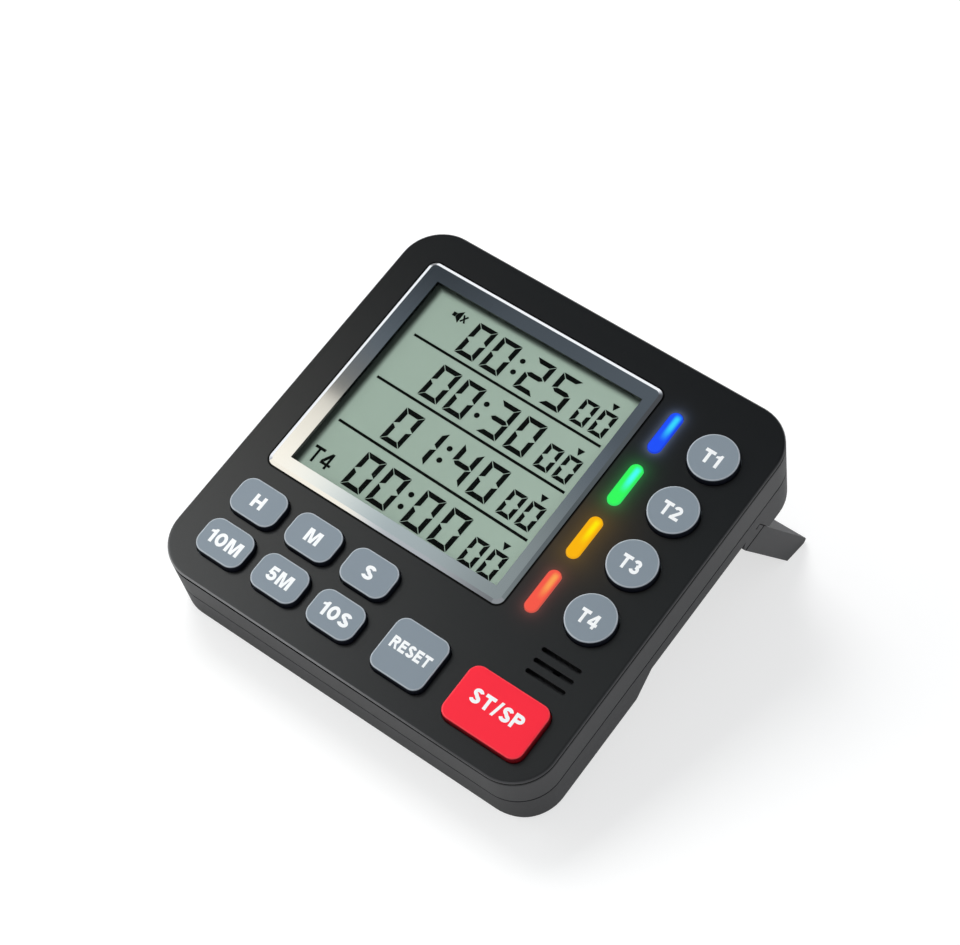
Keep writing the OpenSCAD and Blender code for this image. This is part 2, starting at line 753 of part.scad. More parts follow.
module tact_switch() {
  block(switch_w, switch_w, switch_d + plunger_h, board_d);
  post(plunger_d, switch_d, board_d);
}

module tact_switches() color(dark_part) on_desk() {
  at_each(round_keys) tact_switch();
  at_each(small_keys) tact_switch();
  at_each([[reset_x, reset_y], [start_x, start_y]]) tact_switch();
}

module controller_blob() color([0.06, 0.06, 0.06]) on_desk() {
  blob_r = 7;
  blob_h = 1.8;
  translate([bezel_x, hinge_y - 2 * blob_r, -board_back])
    mirror([0, 0, 1]) rotate_extrude() edge_section(blob_r, blob_h, blob_h / 2, 0);
}

module quartz_crystal() color(metal) on_desk() {
  can_d = 2;
  can_l = 6;
  translate([bezel_x + 3 * can_l, hinge_y - 2 * can_l, -board_back - can_d / 2])
    rotate([0, 90, 0]) cylinder(d = can_d, h = can_l, center = true);
}

module buzzer() color(dark_part) on_desk() translate([round_x, slots_y, 0]) difference() {
  post(buzzer_d, face_t + buzzer_gap, board_d);
  post(sound_hole_d, face_t, board_d - past);
}

// Battery

module battery_cell(side) color([0.35, 0.37, 0.40]) on_desk()
  translate([-bay_left, door_y + side * cell_y, -cell_mid]) rotate([0, 90, side > 0 ? 0 : 180])
    translate([0, 0, contact_t - bay_l / 2]) {
      cylinder(d = nub_d, h = nub_h + past);
      translate([0, 0, nub_h]) cylinder(d = cell_d, h = cell_l - nub_h);
    }

module battery_cell_upper() battery_cell(1);
module battery_cell_lower() battery_cell(-1);

// Bent leaf that presses on the flat end of a cell
module leaf() {
  reach = spring_l - contact_t;
  bend = 1.8 * contact_t;
  rotate([90, 0, 0]) linear_extrude(leaf_w, center = true)
    polygon([
      [0, -leaf_h / 2],
      [reach, 0],
      [0, leaf_h / 2],
      [0, leaf_h / 2 - bend],
      [reach - bend, 0],
      [0, bend - leaf_h / 2]
    ]);
}

module contact_plate(w) translate([contact_t / 2, 0, 0]) cube([contact_t, w, contact_h], center = true);

module bridge_contact() color(metal) on_desk() translate([-bay_left - bay_l / 2, door_y, -cell_mid]) {
  contact_plate(contact_y);
  translate([contact_t, -cell_y, 0]) leaf();
}

module terminal_contacts() color(metal) on_desk()
  translate([-bay_left + bay_l / 2, door_y, -cell_mid]) mirror([1, 0, 0]) {
    for (side = [-1, 1]) translate([0, side * cell_y, 0]) {
      contact_plate(cell_d - 2);
      translate([0, -tail_w / 2, 0]) cube([contact_t, tail_w, cell_mid - board_back]);
    }
    translate([contact_t, cell_y, 0]) leaf();
  }

module battery_door() color(side_grey) on_desk() translate([-bay_left, door_y, 0]) difference() {
  union() {
    plate(door_l, door_w, rim_w, door_d, case_d);
    for (side = [-1, 1]) translate([side * tab_x, -door_w / 2, 0])
      block(tab_w, 2 * tab_l, door_d, door_d + tab_t);
  }
  finger_scoop();
  for (i = [1:3]) translate([0, door_w / 2 - scoop_d / 2 - grip_pitch * i, 0])
    plate(2 * scoop_d, scoop_depth, scoop_depth / 2, case_d - scoop_depth / 2, case_d + past);
}

// Fasteners

module screw(seat) {
  post(screw_d, screw_tip + screw_gap, seat + past / 2);
  difference() {
    post(head_d, seat, seat + head_h);
    for (a = [0, 90]) rotate(a) block(cross_l, cross_w, seat + head_h / 2, seat + head_h + past);
  }
}

module case_screws() color(metal) on_desk() at_each(case_screw_places) screw(screw_seat);
module board_screws() color(metal) on_desk() at_each(board_screw_places) screw(board_back);

// Volume switch

module slide_switch() color(metal) on_desk() translate([switch_x, switch_y, 0]) difference() {
  block(switch_l * 0.6, switch_l, pad_d - switch_h, pad_d);
  stem_slot(pad_d - switch_h / 2, pad_d + past);
}

module volume_knob() color(dark_part) on_desk() translate([switch_x, switch_y - knob_travel / 2, 0]) {
  plate(knob_w, knob_l, knob_r, case_d - knob_pocket + knob_gap, case_d - knob_gap / 2);
  block(stem_w, stem_w, pad_d - switch_h / 2 + knob_gap, case_d - knob_gap);
}

// Stand

module leg_section() {
  foot_run = [cos(leg_slope), sin(leg_slope)] * toe_run;
  circle(d = leg_t);
  polygon([
    [0, -leg_t / 2],
    [foot_at(-leg_t / 2), -leg_t / 2],
    [foot_at(leg_back), leg_back] - foot_run,
    [toe_u, leg_back],
    [0, leg_back]
  ]);
  translate([toe_u, toe_n]) circle(toe_r);
}

module stand() color(side_grey) on_desk() on_leg() {
  pocket_w = (leg_w - 4 * leg_skin) / 3;
  pocket_near = leg_t / 2 + leg_gap + leg_skin;
  pocket_l = foot_at(-leg_t / 2) - leg_skin - pocket_near;
  pin_l = knuckle_w + leg_gap;
  difference() {
    across(leg_w) leg_section();
    for (side = [-1, 1]) translate([side * knuckle_x, leg_gap - leg_t, 0])
      cube([knuckle_w + 2 * leg_gap, 3 * leg_t, 2 * leg_t], center = true);
    for (i = [-1:1])
      translate([i * (pocket_w + leg_skin), pocket_near + pocket_l / 2, leg_out / 2 - leg_skin])
        cube([pocket_w, pocket_l, leg_t + leg_out], center = true);
  }
  for (side = [-1, 1]) translate([side * (knuckle_x + leg_gap / 2 + past), 0, 0])
    rotate([0, 90, 0]) cylinder(d = hinge_d, h = pin_l, center = true);
}

front_case();
back_cover();
display_bezel();
display_window();
lcd_panel();
lcd_holder();
lcd_pins();
light_bar_blue();
light_bar_green();
light_bar_amber();
light_bar_red();
key_t1();
key_t2();
key_t3();
key_t4();
key_hours();
key_minutes();
key_seconds();
key_ten_minutes();
key_five_minutes();
key_ten_seconds();
key_reset();
key_start_stop();
circuit_board();
tact_switches();
status_leds();
controller_blob();
quartz_crystal();
buzzer();
battery_door();
battery_cell_upper();
battery_cell_lower();
bridge_contact();
terminal_contacts();
case_screws();
board_screws();
slide_switch();
volume_knob();
stand();
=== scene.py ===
import math

import bmesh
import bpy
from mathutils import Matrix, Vector


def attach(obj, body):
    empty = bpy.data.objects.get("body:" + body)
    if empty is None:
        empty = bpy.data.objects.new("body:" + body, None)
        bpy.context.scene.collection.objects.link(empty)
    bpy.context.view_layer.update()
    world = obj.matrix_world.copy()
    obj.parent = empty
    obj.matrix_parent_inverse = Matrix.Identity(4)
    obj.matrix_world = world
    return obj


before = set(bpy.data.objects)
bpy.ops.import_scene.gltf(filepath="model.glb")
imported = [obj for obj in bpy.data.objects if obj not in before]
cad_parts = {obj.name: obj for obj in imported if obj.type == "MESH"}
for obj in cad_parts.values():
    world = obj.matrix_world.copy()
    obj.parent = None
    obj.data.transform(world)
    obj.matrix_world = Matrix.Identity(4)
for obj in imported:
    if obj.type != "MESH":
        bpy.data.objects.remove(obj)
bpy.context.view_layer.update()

# Places on the timer are in millimetres in the frame of its face:
# x to the right, y to the top edge, z out of the face, from the middle of the face
MM = 0.001
RECLINE = math.radians(19.2)
FACE_PLACE = Vector((0, -9.01755, 34.38813)) * MM
FACE_TURN = Matrix.Rotation(RECLINE, 3, "X")
FACE = Matrix.Translation(FACE_PLACE) @ Matrix.Rotation(RECLINE, 4, "X") @ Matrix.Scale(MM, 4)
FACE_UP = FACE_TURN @ Vector((0, 0, 1))
LEFT_AND_TOP = FACE_TURN @ Vector((-1, 1, 0))

KEY_TOP = 1.8
GLASS_FRONT = -1.25
PRINT_LIFT = 0.01
PRINT_RELIEF = 0.02
WELD = 1e-4

SMALL_X = (-36.545, -21.445, -6.345)
SMALL_Y = (-28.08, -39.53)
RESET_X, RESET_WORD_Y = 11.99, -37.5
START_X, START_WORD_Y = 34.25, -37.7
ROUND_X = 38.2
ROUND_Y = tuple(33.455 - 14.77 * i for i in range(4))
ROUND_WORD_LEFT, ROUND_WORD_DROP = 0.2, 0.4
LIGHT_X = 25.85
LIGHT_LENGTH, LIGHT_WIDTH = 11.0, 3.2
LIGHT_RUN = (LIGHT_LENGTH - LIGHT_WIDTH) / 2

BEZEL_MIDDLE = (-11.050, 11.350)
BEZEL_HALF = (31.500, 30.250)
BEZEL_ROUND = 2.0

# Lower and upper level of the painted shade line under the edge of the face, and how far out the walls start
GROOVE_SHADE_LEVELS = (-1.75, -0.62)
OUTER_WALL = 46.2

# Lower and upper level of the painted shade line where the leg leaves the case, and how far out the leg's sides
# are
LEG_SHADE_LINE = (-19.75, -19.15)
LEG_SIDE = 49.5

BLACK = (0, 0, 0, 1)
# Black of the painted shade lines
SHADE_LINE_BLACK = (0.002, 0.002, 0.002, 1)

# How far a surface faces out of the face where a finish changes
FRONT_GLOW = (0.9, 0.98)
EDGE_TURN = (0.75, 0.95)
HIGHLIGHT_RIM_START, HIGHLIGHT_RIM_END = (0.55, 0.75), (0.93, 0.995)
SHADED_SKIRT_END = (0.35, 0.65)
BEVEL_TURN = (0.90, 0.97)
BEZEL_FRONT = (0.25, 0.45)


# Node trees of the finishes

def blank_finish(name):
    finish = bpy.data.materials.new(name)
    finish.use_nodes = True
    tree = finish.node_tree
    return finish, tree, tree.nodes["Principled BSDF"]


def fill(tree, node, **inputs):
    """Links sockets to a node's inputs and sets plain values on them, by name or, as i0 and i1, by number."""
    for key, value in inputs.items():
        socket = node.inputs[int(key[1:])] if key[1:].isdigit() else node.inputs[key.replace("_", " ")]
        if isinstance(value, bpy.types.NodeSocket):
            tree.links.new(value, socket)
        else:
            socket.default_value = value


def add_node(tree, kind, settings=None, **inputs):
    node = tree.nodes.new(kind)
    for key, value in (settings or {}).items():
        setattr(node, key, value)
    fill(tree, node, **inputs)
    return node


def math_node(tree, operation, first, second=0.0, clamp=False):
    node = add_node(tree, "ShaderNodeMath", {"operation": operation, "use_clamp": clamp}, i0=first, i1=second)
    return node.outputs[0]


def product(tree, *factors):
    total = factors[0]
    for factor in factors[1:]:
        total = math_node(tree, "MULTIPLY", total, factor)
    return total


def less(tree, first, second):
    return math_node(tree, "SUBTRACT", first, second)


def larger(tree, first, second):
    return math_node(tree, "MAXIMUM", first, second)


def size_of(tree, value):
    return math_node(tree, "ABSOLUTE", value)


def above(tree, value, limit):
    """1 where a value is above a limit, 0 elsewhere."""
    return math_node(tree, "GREATER_THAN", value, limit)


def below(tree, value, limit):
    """1 where a value is below a limit, 0 elsewhere."""
    return math_node(tree, "LESS_THAN", value, limit)


def diagonal(tree, first, second):
    squares = math_node(tree, "ADD", product(tree, first, first), product(tree, second, second))
    return math_node(tree, "SQRT", squares)


def object_coords(tree):
    return tree.nodes.new("ShaderNodeTexCoord").outputs["Object"]


def face_coords(tree):
    """Object coordinates in millimetres in the frame of the face."""
    mapping = add_node(tree, "ShaderNodeMapping", {"vector_type": "TEXTURE"}, Vector=object_coords(tree),
                       Location=FACE_PLACE, Rotation=(RECLINE, 0, 0), Scale=(MM, MM, MM))
    return mapping.outputs[0]


def face_place(tree):
    """x, y and z of a point in the frame of the face."""
    return add_node(tree, "ShaderNodeSeparateXYZ", Vector=face_coords(tree)).outputs


def noise(tree, coords, size_mm, detail=2.0, roughness=0.5):
    node = add_node(tree, "ShaderNodeTexNoise", Vector=coords, Scale=1 / (size_mm * MM), Detail=detail,
                    Roughness=roughness)
    return node.outputs["Fac"]


def stretched_noise(tree, coords, stretch, size_mm, detail, roughness=0.5):
    """Noise drawn out along an axis, for brushed and rolled metal."""
    mapping = add_node(tree, "ShaderNodeMapping", Vector=coords, Scale=stretch)
    return noise(tree, mapping.outputs[0], size_mm, detail, roughness)


def span(tree, value, low, high, from_low=0.0, from_high=1.0, smooth=False):
    """Goes from low to high while a value goes from one limit to the other, and holds beyond them."""
    kind = "SMOOTHSTEP" if smooth else "LINEAR"
    node = add_node(tree, "ShaderNodeMapRange", {"interpolation_type": kind}, Value=value, From_Min=from_low,
                    From_Max=from_high, To_Min=low, To_Max=high)
    return node.outputs[0]


def mix_colours(tree, factor, first, second, blend="MIX"):
    settings = {"data_type": "RGBA", "blend_type": blend}
    return add_node(tree, "ShaderNodeMix", settings, i0=factor, i6=first, i7=second).outputs[2]


def shade(colour, factor=1.0):
    """A colour made darker or lighter, with full cover."""
    return (*[min(1.0, c * factor) for c in colour], 1.0)


def facing(tree, way=FACE_UP):
    """How far a surface looks a way: for the way out of the face, 1 on the face and 0 on the walls."""
    normal = tree.nodes.new("ShaderNodeNewGeometry").outputs["Normal"]
    dot = add_node(tree, "ShaderNodeVectorMath", {"operation": "DOT_PRODUCT"}, i0=normal, i1=way)
    return dot.outputs["Value"]


def linked(shader, name):
    """The socket that feeds an input of a shader."""
    return shader.inputs[name].links[0].from_socket


def set_bump(tree, shader, height, depth_mm):
    bump = add_node(tree, "ShaderNodeBump", Height=height, Distance=depth_mm * MM, Strength=1.0)
    fill(tree, shader, Normal=bump.outputs[0])


def set_surface(tree, node):
    tree.links.new(node.outputs[0], tree.nodes["Material Output"].inputs["Surface"])


def draw_shade_line(tree, shader, line):
    """Painted shade line over a finish, without its gloss."""
    # Dark surface of the painted shade line
    gap = add_node(tree, "ShaderNodeBsdfDiffuse", Color=SHADE_LINE_BLACK)
    set_surface(tree, add_node(tree, "ShaderNodeMixShader", i0=line, i1=shader.outputs[0], i2=gap.outputs[0]))


CLOUDS_MM = 9.0
GLOSS_SPREAD = 0.06


def moulded(name, colour, rough, grain_mm=0.16, depth_mm=0.012, mottle=0.06, specular=0.5):
    """Moulded plastic: fine eroded grain, slight clouding of colour and gloss."""
    finish, tree, shader = blank_finish(name)
    coords = object_coords(tree)
    clouds = noise(tree, coords, CLOUDS_MM, 3.0)
    grain = noise(tree, coords, grain_mm, 3.0, 0.6)
    fill(tree, shader,
         Base_Color=mix_colours(tree, clouds, shade(colour, 1 - mottle), shade(colour, 1 + mottle)),
         Roughness=span(tree, grain, rough - GLOSS_SPREAD, rough + GLOSS_SPREAD),
         Specular_IOR_Level=specular)
    set_bump(tree, shader, grain, depth_mm)
    return finish, tree, shader


# Light bars and the glow that they throw on the face

BLUE, GREEN, AMBER, RED = range(4)
LIGHT_RIM = ((0.013, 0.045, 0.62), (0.040, 0.76, 0.14), (0.82, 0.38, 0.010), (0.58, 0.095, 0.07))
LIGHT_CORE = ((0.014, 0.085, 0.98), (0.034, 0.98, 0.11), (0.97, 0.47, 0.002), (0.95, 0.10, 0.065))
LIGHT_STREAK = ((0.04, 0.72, 1.0), (0.07, 0.99, 0.97), (0.99, 0.84, 0.0), (0.98, 0.39, 0.09))
LIGHT_GLOW = ((0.45, 0.60, 1.0), (0.08, 1.0, 0.22), (1.0, 0.53, 0.03), (1.0, 0.26, 0.22))
LIGHT_STRENGTH = 0.97
GLOW_STRENGTH = (0.14, 0.10, 0.07, 0.075)
GLOW_REACH = (0.75, 1.3, 3.2, 1.1)
# Where the core of a bar fades into its rim, and where its streak rises, ends and fades sideways
CORE_FADE = (1.2, LIGHT_WIDTH / 2 + 0.15)
STREAK_RISE, STREAK_END = (-2.6, 2.2), (3.8, 5.3)
STREAK_SIDE, STREAK_FADE = 0.35, (0.1, 1.1)


def bar_distance(tree, place, i):
    """Distance from the middle line of a light bar, and the distances across and along it."""
    across = less(tree, place[0], LIGHT_X)
    along = less(tree, place[1], ROUND_Y[i])
    beyond = larger(tree, less(tree, size_of(tree, along), LIGHT_RUN), 0.0)
    return diagonal(tree, across, beyond), across, along


def lit_bar(name, i):
    """Frosted bar lit from below: bright core, deeper rim and a pale streak in its upper half."""
    finish, tree, shader = blank_finish(name)
    distance, across, along = bar_distance(tree, face_place(tree), i)
    core = span(tree, distance, 1.0, 0.0, *CORE_FADE, smooth=True)
    colour = mix_colours(tree, core, shade(LIGHT_RIM[i]), shade(LIGHT_CORE[i]))
    upper = span(tree, along, 0.0, 1.0, *STREAK_RISE, smooth=True)
    ends = span(tree, along, 1.0, 0.0, *STREAK_END, smooth=True)
    side = span(tree, size_of(tree, less(tree, across, STREAK_SIDE)), 1.0, 0.0, *STREAK_FADE, smooth=True)
    colour = mix_colours(tree, product(tree, upper, ends, side), colour, shade(LIGHT_STREAK[i]))
    frost = noise(tree, object_coords(tree), 0.35, 2.0)
    colour = mix_colours(tree, span(tree, frost, 0.0, 0.12), colour, shade(LIGHT_RIM[i], 0.8))
    fill(tree, shader, Emission_Color=colour, Emission_Strength=LIGHT_STRENGTH,
         Base_Color=shade(LIGHT_RIM[i], 0.04), Roughness=0.3, Specular_IOR_Level=0.12)
    set_bump(tree, shader, frost, 0.02)
    return finish


def add_glow(tree, shader, place):
    """Glow of the four light bars on the front surface."""
    total = BLACK
    for i in (BLUE, GREEN, AMBER, RED):
        distance = bar_distance(tree, place, i)[0]
        past_rim = larger(tree, less(tree, distance, LIGHT_WIDTH / 2), 0.0)
        fall = math_node(tree, "EXPONENT", product(tree, past_rim, -1 / GLOW_REACH[i]))
        glow = mix_colours(tree, product(tree, fall, GLOW_STRENGTH[i]), BLACK, shade(LIGHT_GLOW[i]))
        total = mix_colours(tree, 1.0, total, glow, "ADD")
    front = span(tree, facing(tree), 0.0, 1.0, *FRONT_GLOW)
    fill(tree, shader, Emission_Color=mix_colours(tree, front, BLACK, total), Emission_Strength=1.0)


# Finishes

FACE_BLACK = (0.0024, 0.0026, 0.0034)
# Painted highlight on the rounded edge of the face: faint grey on most of it, pale towards the lower left
EDGE_DARK = (0.022, 0.022, 0.024, 1)
EDGE_HIGHLIGHT = (0.24, 0.24, 0.245, 1)
EDGE_LIGHT_X, EDGE_LIGHT_Y = (-5.0, 30.0), (-48.5, -44.0)
# How dark the painted shade line round the bezel is, and over which distances it fades
BEZEL_SHADE_COVER, BEZEL_SHADE_FADE = 0.92, (0.25, 0.6)
# Painted shade line under the edge of the face: fades from the left towards the right
GROOVE_SHADE_FADE = (0.0, 45.0)
WALL_ROUGHER = 0.22
SHELL_GREY = (0.041, 0.041, 0.043)
SHELL_ROUGH = 0.52
SHELL_GRAIN = {"grain_mm": 0.2, "depth_mm": 0.015}
SILVER_DARK, SILVER_PALE = (0.61, 0.63, 0.67, 1), (0.66, 0.68, 0.71, 1)
SILVER_BRUSHED = (0.50, 0.52, 0.56, 1)
# Painted highlight of the bevel at the upper left
BEVEL_HIGHLIGHT = (0.97, 0.97, 0.96, 1)
BEVEL_HIGHLIGHT_SIDE = (0.0, 0.3)
# Painted shade on the walls of the opening: near black at the top, paler towards the bottom
OPENING_SHADED, OPENING_PALE = (0.002, 0.003, 0.004, 1), (0.10, 0.105, 0.095, 1)
OPENING_LOW = (-1.0, 3.5)
GLASS_DARK, GLASS_PALE = (0.323, 0.413, 0.345, 1), (0.343, 0.439, 0.367, 1)
GLASS_GRAIN = (0.290, 0.378, 0.314, 1)
# Painted shadow under the left and the top of the bezel, and painted light towards the right and the bottom
GLASS_LEFT_SHADOW, GLASS_TOP_SHADOW = (-37.7, -36.0), (36.2, 37.5)
GLASS_RIGHT_LIGHT, GLASS_LOW_LIGHT = (-18.0, 17.0), (-17.0, -12.5)
WINDOW_DARK, WINDOW_PALE = (0.02, 0.03, 0.025, 1), (0.04, 0.05, 0.045, 1)
BOARD_GREEN, BOARD_TRACK = (0.012, 0.085, 0.035, 1), (0.03, 0.16, 0.06, 1)
CELL_DARK, CELL_PALE = (0.03, 0.05, 0.09, 1), (0.42, 0.43, 0.44, 1)
CELL_WORN = (0.3, 0.3, 0.3, 1)
CELL_MIDDLE, CELL_BAND = -4.0, (12.0, 12.2)


def bezel_shade_line(tree, place):
    """Near 1 on the painted shade line round the bezel, 0 elsewhere."""
    past = []
    for axis in (0, 1):
        off = size_of(tree, less(tree, place[axis], BEZEL_MIDDLE[axis]))
        past.append(larger(tree, less(tree, off, BEZEL_HALF[axis] - BEZEL_ROUND), 0.0))
    distance = less(tree, diagonal(tree, *past), BEZEL_ROUND)
    return span(tree, distance, BEZEL_SHADE_COVER, 0.0, *BEZEL_SHADE_FADE, smooth=True)


def face_finish():
    """Black face and holes, grey outer walls, a painted highlight on the edge, strongest at the lower left, and
    painted shade lines.
    """
    finish, tree, shader = moulded("face_black", FACE_BLACK, 0.30, specular=0.66)
    place = face_place(tree)
    outside = above(tree, larger(tree, size_of(tree, place[0]), size_of(tree, place[1])), OUTER_WALL)
    wall = product(tree, outside, below(tree, place[2], GROOVE_SHADE_LEVELS[1]))
    edge = product(tree, span(tree, facing(tree), 1.0, 0.0, *EDGE_TURN), outside)
    # Painted highlight: the edge is paler towards the lower left, where light falls on it
    edge_light = product(tree, span(tree, place[1], 1.0, 0.0, *EDGE_LIGHT_Y), span(tree, place[0], 1.0, 0.1, *EDGE_LIGHT_X))
    edge_highlight_grey = mix_colours(tree, edge_light, EDGE_DARK, EDGE_HIGHLIGHT)
    colour = mix_colours(tree, edge, linked(shader, "Base Color"), edge_highlight_grey)
    colour = mix_colours(tree, wall, colour, shade(SHELL_GREY))
    rough = math_node(tree, "ADD", linked(shader, "Roughness"), product(tree, wall, WALL_ROUGHER))
    fill(tree, shader, Base_Color=colour, Roughness=rough)
    add_glow(tree, shader, place)
    # Painted shade line under the edge of the face, weaker towards the right
    groove_shade = product(tree, wall, above(tree, place[2], GROOVE_SHADE_LEVELS[0]),
                     span(tree, place[0], 1.0, 0.4, *GROOVE_SHADE_FADE))
    draw_shade_line(tree, shader, larger(tree, groove_shade, bezel_shade_line(tree, place)))
    return finish


def stand_finish():
    """Grey leg with a painted shade line where it leaves the case."""
    finish, tree, shader = moulded("stand_grey", SHELL_GREY, SHELL_ROUGH, **SHELL_GRAIN)
    place = face_place(tree)
    side = above(tree, size_of(tree, place[0]), LEG_SIDE)
    # Painted shade line across the sides of the leg where it leaves the case
    leg_shade = product(tree, above(tree, place[2], LEG_SHADE_LINE[0]), below(tree, place[2], LEG_SHADE_LINE[1]))
    draw_shade_line(tree, shader, product(tree, side, leg_shade))
    return finish


def key_finish(name, top, shaded_skirt, rim):
    """Soft key: coloured top with a painted highlight on its rim, and painted shade on the wall below it."""
    finish, tree, shader = moulded(name, top, 0.48, grain_mm=0.10, depth_mm=0.006, mottle=0.03, specular=0.4)
    up = facing(tree)
    # Painted highlight on the rim, where the top rounds over
    highlight_rim_mask = product(tree, span(tree, up, 0.0, 1.0, *HIGHLIGHT_RIM_START), span(tree, up, 1.0, 0.0, *HIGHLIGHT_RIM_END))
    colour = mix_colours(tree, highlight_rim_mask, linked(shader, "Base Color"), shade(rim))
    # Painted shade: the wall below the top is dark
    colour = mix_colours(tree, span(tree, up, 0.0, 1.0, *SHADED_SKIRT_END, smooth=True), shade(shaded_skirt), colour)
    fill(tree, shader, Base_Color=colour)
    return finish


def bezel_finish():
    """Polished silver lacquer with faint brushing and a painted highlight on the bevel at the upper left; the
    walls of the opening have painted shade, near black at the top and paler towards the bottom.
    """
    finish, tree, shader = blank_finish("bezel_silver")
    coords = object_coords(tree)
    brushing = stretched_noise(tree, coords, (1, 0.05, 0.05), 0.10, 3.0, 0.6)
    clouds = noise(tree, coords, 14.0, 2.0)
    silver = mix_colours(tree, clouds, SILVER_DARK, SILVER_PALE)
    silver = mix_colours(tree, span(tree, brushing, 0.0, 0.10), silver, SILVER_BRUSHED)
    up = facing(tree)
    # Painted highlight: the bevel is white at the upper left, where light falls
    upper_left = span(tree, facing(tree, LEFT_AND_TOP), 0.0, 1.0, *BEVEL_HIGHLIGHT_SIDE)
    bevel = product(tree, span(tree, up, 1.0, 0.0, *BEVEL_TURN), upper_left)
    silver = mix_colours(tree, bevel, silver, BEVEL_HIGHLIGHT)
    front = span(tree, up, 0.0, 1.0, *BEZEL_FRONT)
    # Painted shade: the walls of the opening are near black at the top and paler towards the bottom
    low = span(tree, face_place(tree)[1], 1.0, 0.0, *OPENING_LOW)
    wall = mix_colours(tree, low, OPENING_SHADED, OPENING_PALE)
    fill(tree, shader, Base_Color=mix_colours(tree, front, wall, silver), Metallic=front,
         Roughness=span(tree, brushing, 0.05, 0.09))
    return finish


def glass_finish():
    """Grey-green glass of the display: faint grain, painted shadow under the left and the top of the bezel,
    painted light towards the right and the bottom.
    """
    finish, tree, shader = blank_finish("display_grey_green")
    coords = object_coords(tree)
    clouds = noise(tree, coords, 22.0, 2.0)
    grain = noise(tree, coords, 0.18, 2.0)
    colour = mix_colours(tree, clouds, GLASS_DARK, GLASS_PALE)
    colour = mix_colours(tree, span(tree, grain, 0.0, 0.10), colour, GLASS_GRAIN)
    x, y, _ = face_place(tree)
    # Painted shadow near the left and top edges, painted light towards the right and the bottom
    left = span(tree, x, 0.2, 1.0, *GLASS_LEFT_SHADOW, smooth=True)
    top = span(tree, y, 1.0, 0.18, *GLASS_TOP_SHADOW, smooth=True)
    right = span(tree, x, 1.0, 1.12, *GLASS_RIGHT_LIGHT)
    low = span(tree, y, 1.12, 1.0, *GLASS_LOW_LIGHT)
    painted_light_and_shade = product(tree, math_node(tree, "MINIMUM", left, top), product(tree, right, low))
    shaded = add_node(tree, "ShaderNodeVectorMath", {"operation": "SCALE"}, i0=colour, Scale=painted_light_and_shade)
    fill(tree, shader, Base_Color=shaded.outputs[0], Roughness=span(tree, grain, 0.50, 0.62),
         Specular_IOR_Level=0.15)
    return finish


def window_finish():
    """Clear window with faint smears in its gloss."""
    finish, tree, shader = blank_finish("window_clear")
    smears = noise(tree, object_coords(tree), 6.0, 4.0)
    fill(tree, shader, Base_Color=mix_colours(tree, smears, WINDOW_DARK, WINDOW_PALE), Alpha=0.02,
         Roughness=span(tree, smears, 0.03, 0.09), Specular_IOR_Level=0.3)
    return finish


def print_finish(name, colour, rough=0.6, specular=0.3):
    """Printed ink with slight unevenness."""
    finish, tree, shader = blank_finish(name)
    patches = noise(tree, object_coords(tree), 0.5, 3.0)
    fill(tree, shader, Base_Color=mix_colours(tree, patches, shade(colour, 0.95), shade(colour, 1.03)),
         Roughness=span(tree, patches, rough - 0.05, rough + 0.05), Specular_IOR_Level=specular)
    return finish


def sheet_metal(name, colour, rough):
    """Bare metal with the grain of rolling."""
    finish, tree, shader = blank_finish(name)
    grain = stretched_noise(tree, object_coords(tree), (0.1, 1, 1), 0.1, 3.0)
    fill(tree, shader, Base_Color=mix_colours(tree, grain, shade(colour, 0.85), shade(colour, 1.1)),
         Roughness=span(tree, grain, rough - 0.08, rough + 0.08), Metallic=1.0)
    set_bump(tree, shader, grain, 0.004)
    return finish


def board_finish():
    """Green solder resist over copper tracks."""
    finish, tree, shader = blank_finish("board_green")
    bricks = add_node(tree, "ShaderNodeTexBrick", {"offset": 0.5}, Vector=face_coords(tree), Scale=0.22,
                      Mortar_Size=0.06)
    tracks = bricks.outputs["Fac"]
    fill(tree, shader, Base_Color=mix_colours(tree, tracks, BOARD_GREEN, BOARD_TRACK), Roughness=0.35)
    set_bump(tree, shader, tracks, 0.03)
    return finish


def cell_finish():
    """Dark sleeve of a cell with pale bands at both ends."""
    finish, tree, shader = blank_finish("cell_sleeve")
    off_middle = size_of(tree, less(tree, face_place(tree)[0], CELL_MIDDLE))
    wear = noise(tree, object_coords(tree), 1.2, 4.0)
    colour = mix_colours(tree, span(tree, off_middle, 0.0, 1.0, *CELL_BAND), CELL_DARK, CELL_PALE)
    colour = mix_colours(tree, span(tree, wear, 0.0, 0.15), colour, CELL_WORN)
    fill(tree, shader, Base_Color=colour, Roughness=span(tree, wear, 0.25, 0.4))
    return finish


# Top colour, painted shade of the wall and painted highlight of the rim of each key
KEY_GREY = key_finish("key_grey", (0.224, 0.268, 0.310), (0.004, 0.0055, 0.0115), (0.46, 0.50, 0.54))
KEY_RED = key_finish("key_red", (0.98, 0.015, 0.040), (0.20, 0.002, 0.007), (0.98, 0.05, 0.07))
SHELL = moulded("shell_grey", SHELL_GREY, SHELL_ROUGH, **SHELL_GRAIN)[0]
DARK_PLASTIC = moulded("dark_plastic", (0.02, 0.02, 0.022), 0.5)[0]
STEEL = sheet_metal("tinned_steel", (0.62, 0.61, 0.58), 0.32)
CELL = cell_finish()
LEGEND = print_finish("legend_white", (0.93, 0.94, 0.95))
DISPLAY_INK = print_finish("display_ink", (0.0016, 0.0022, 0.0018), 0.75, 0.05)

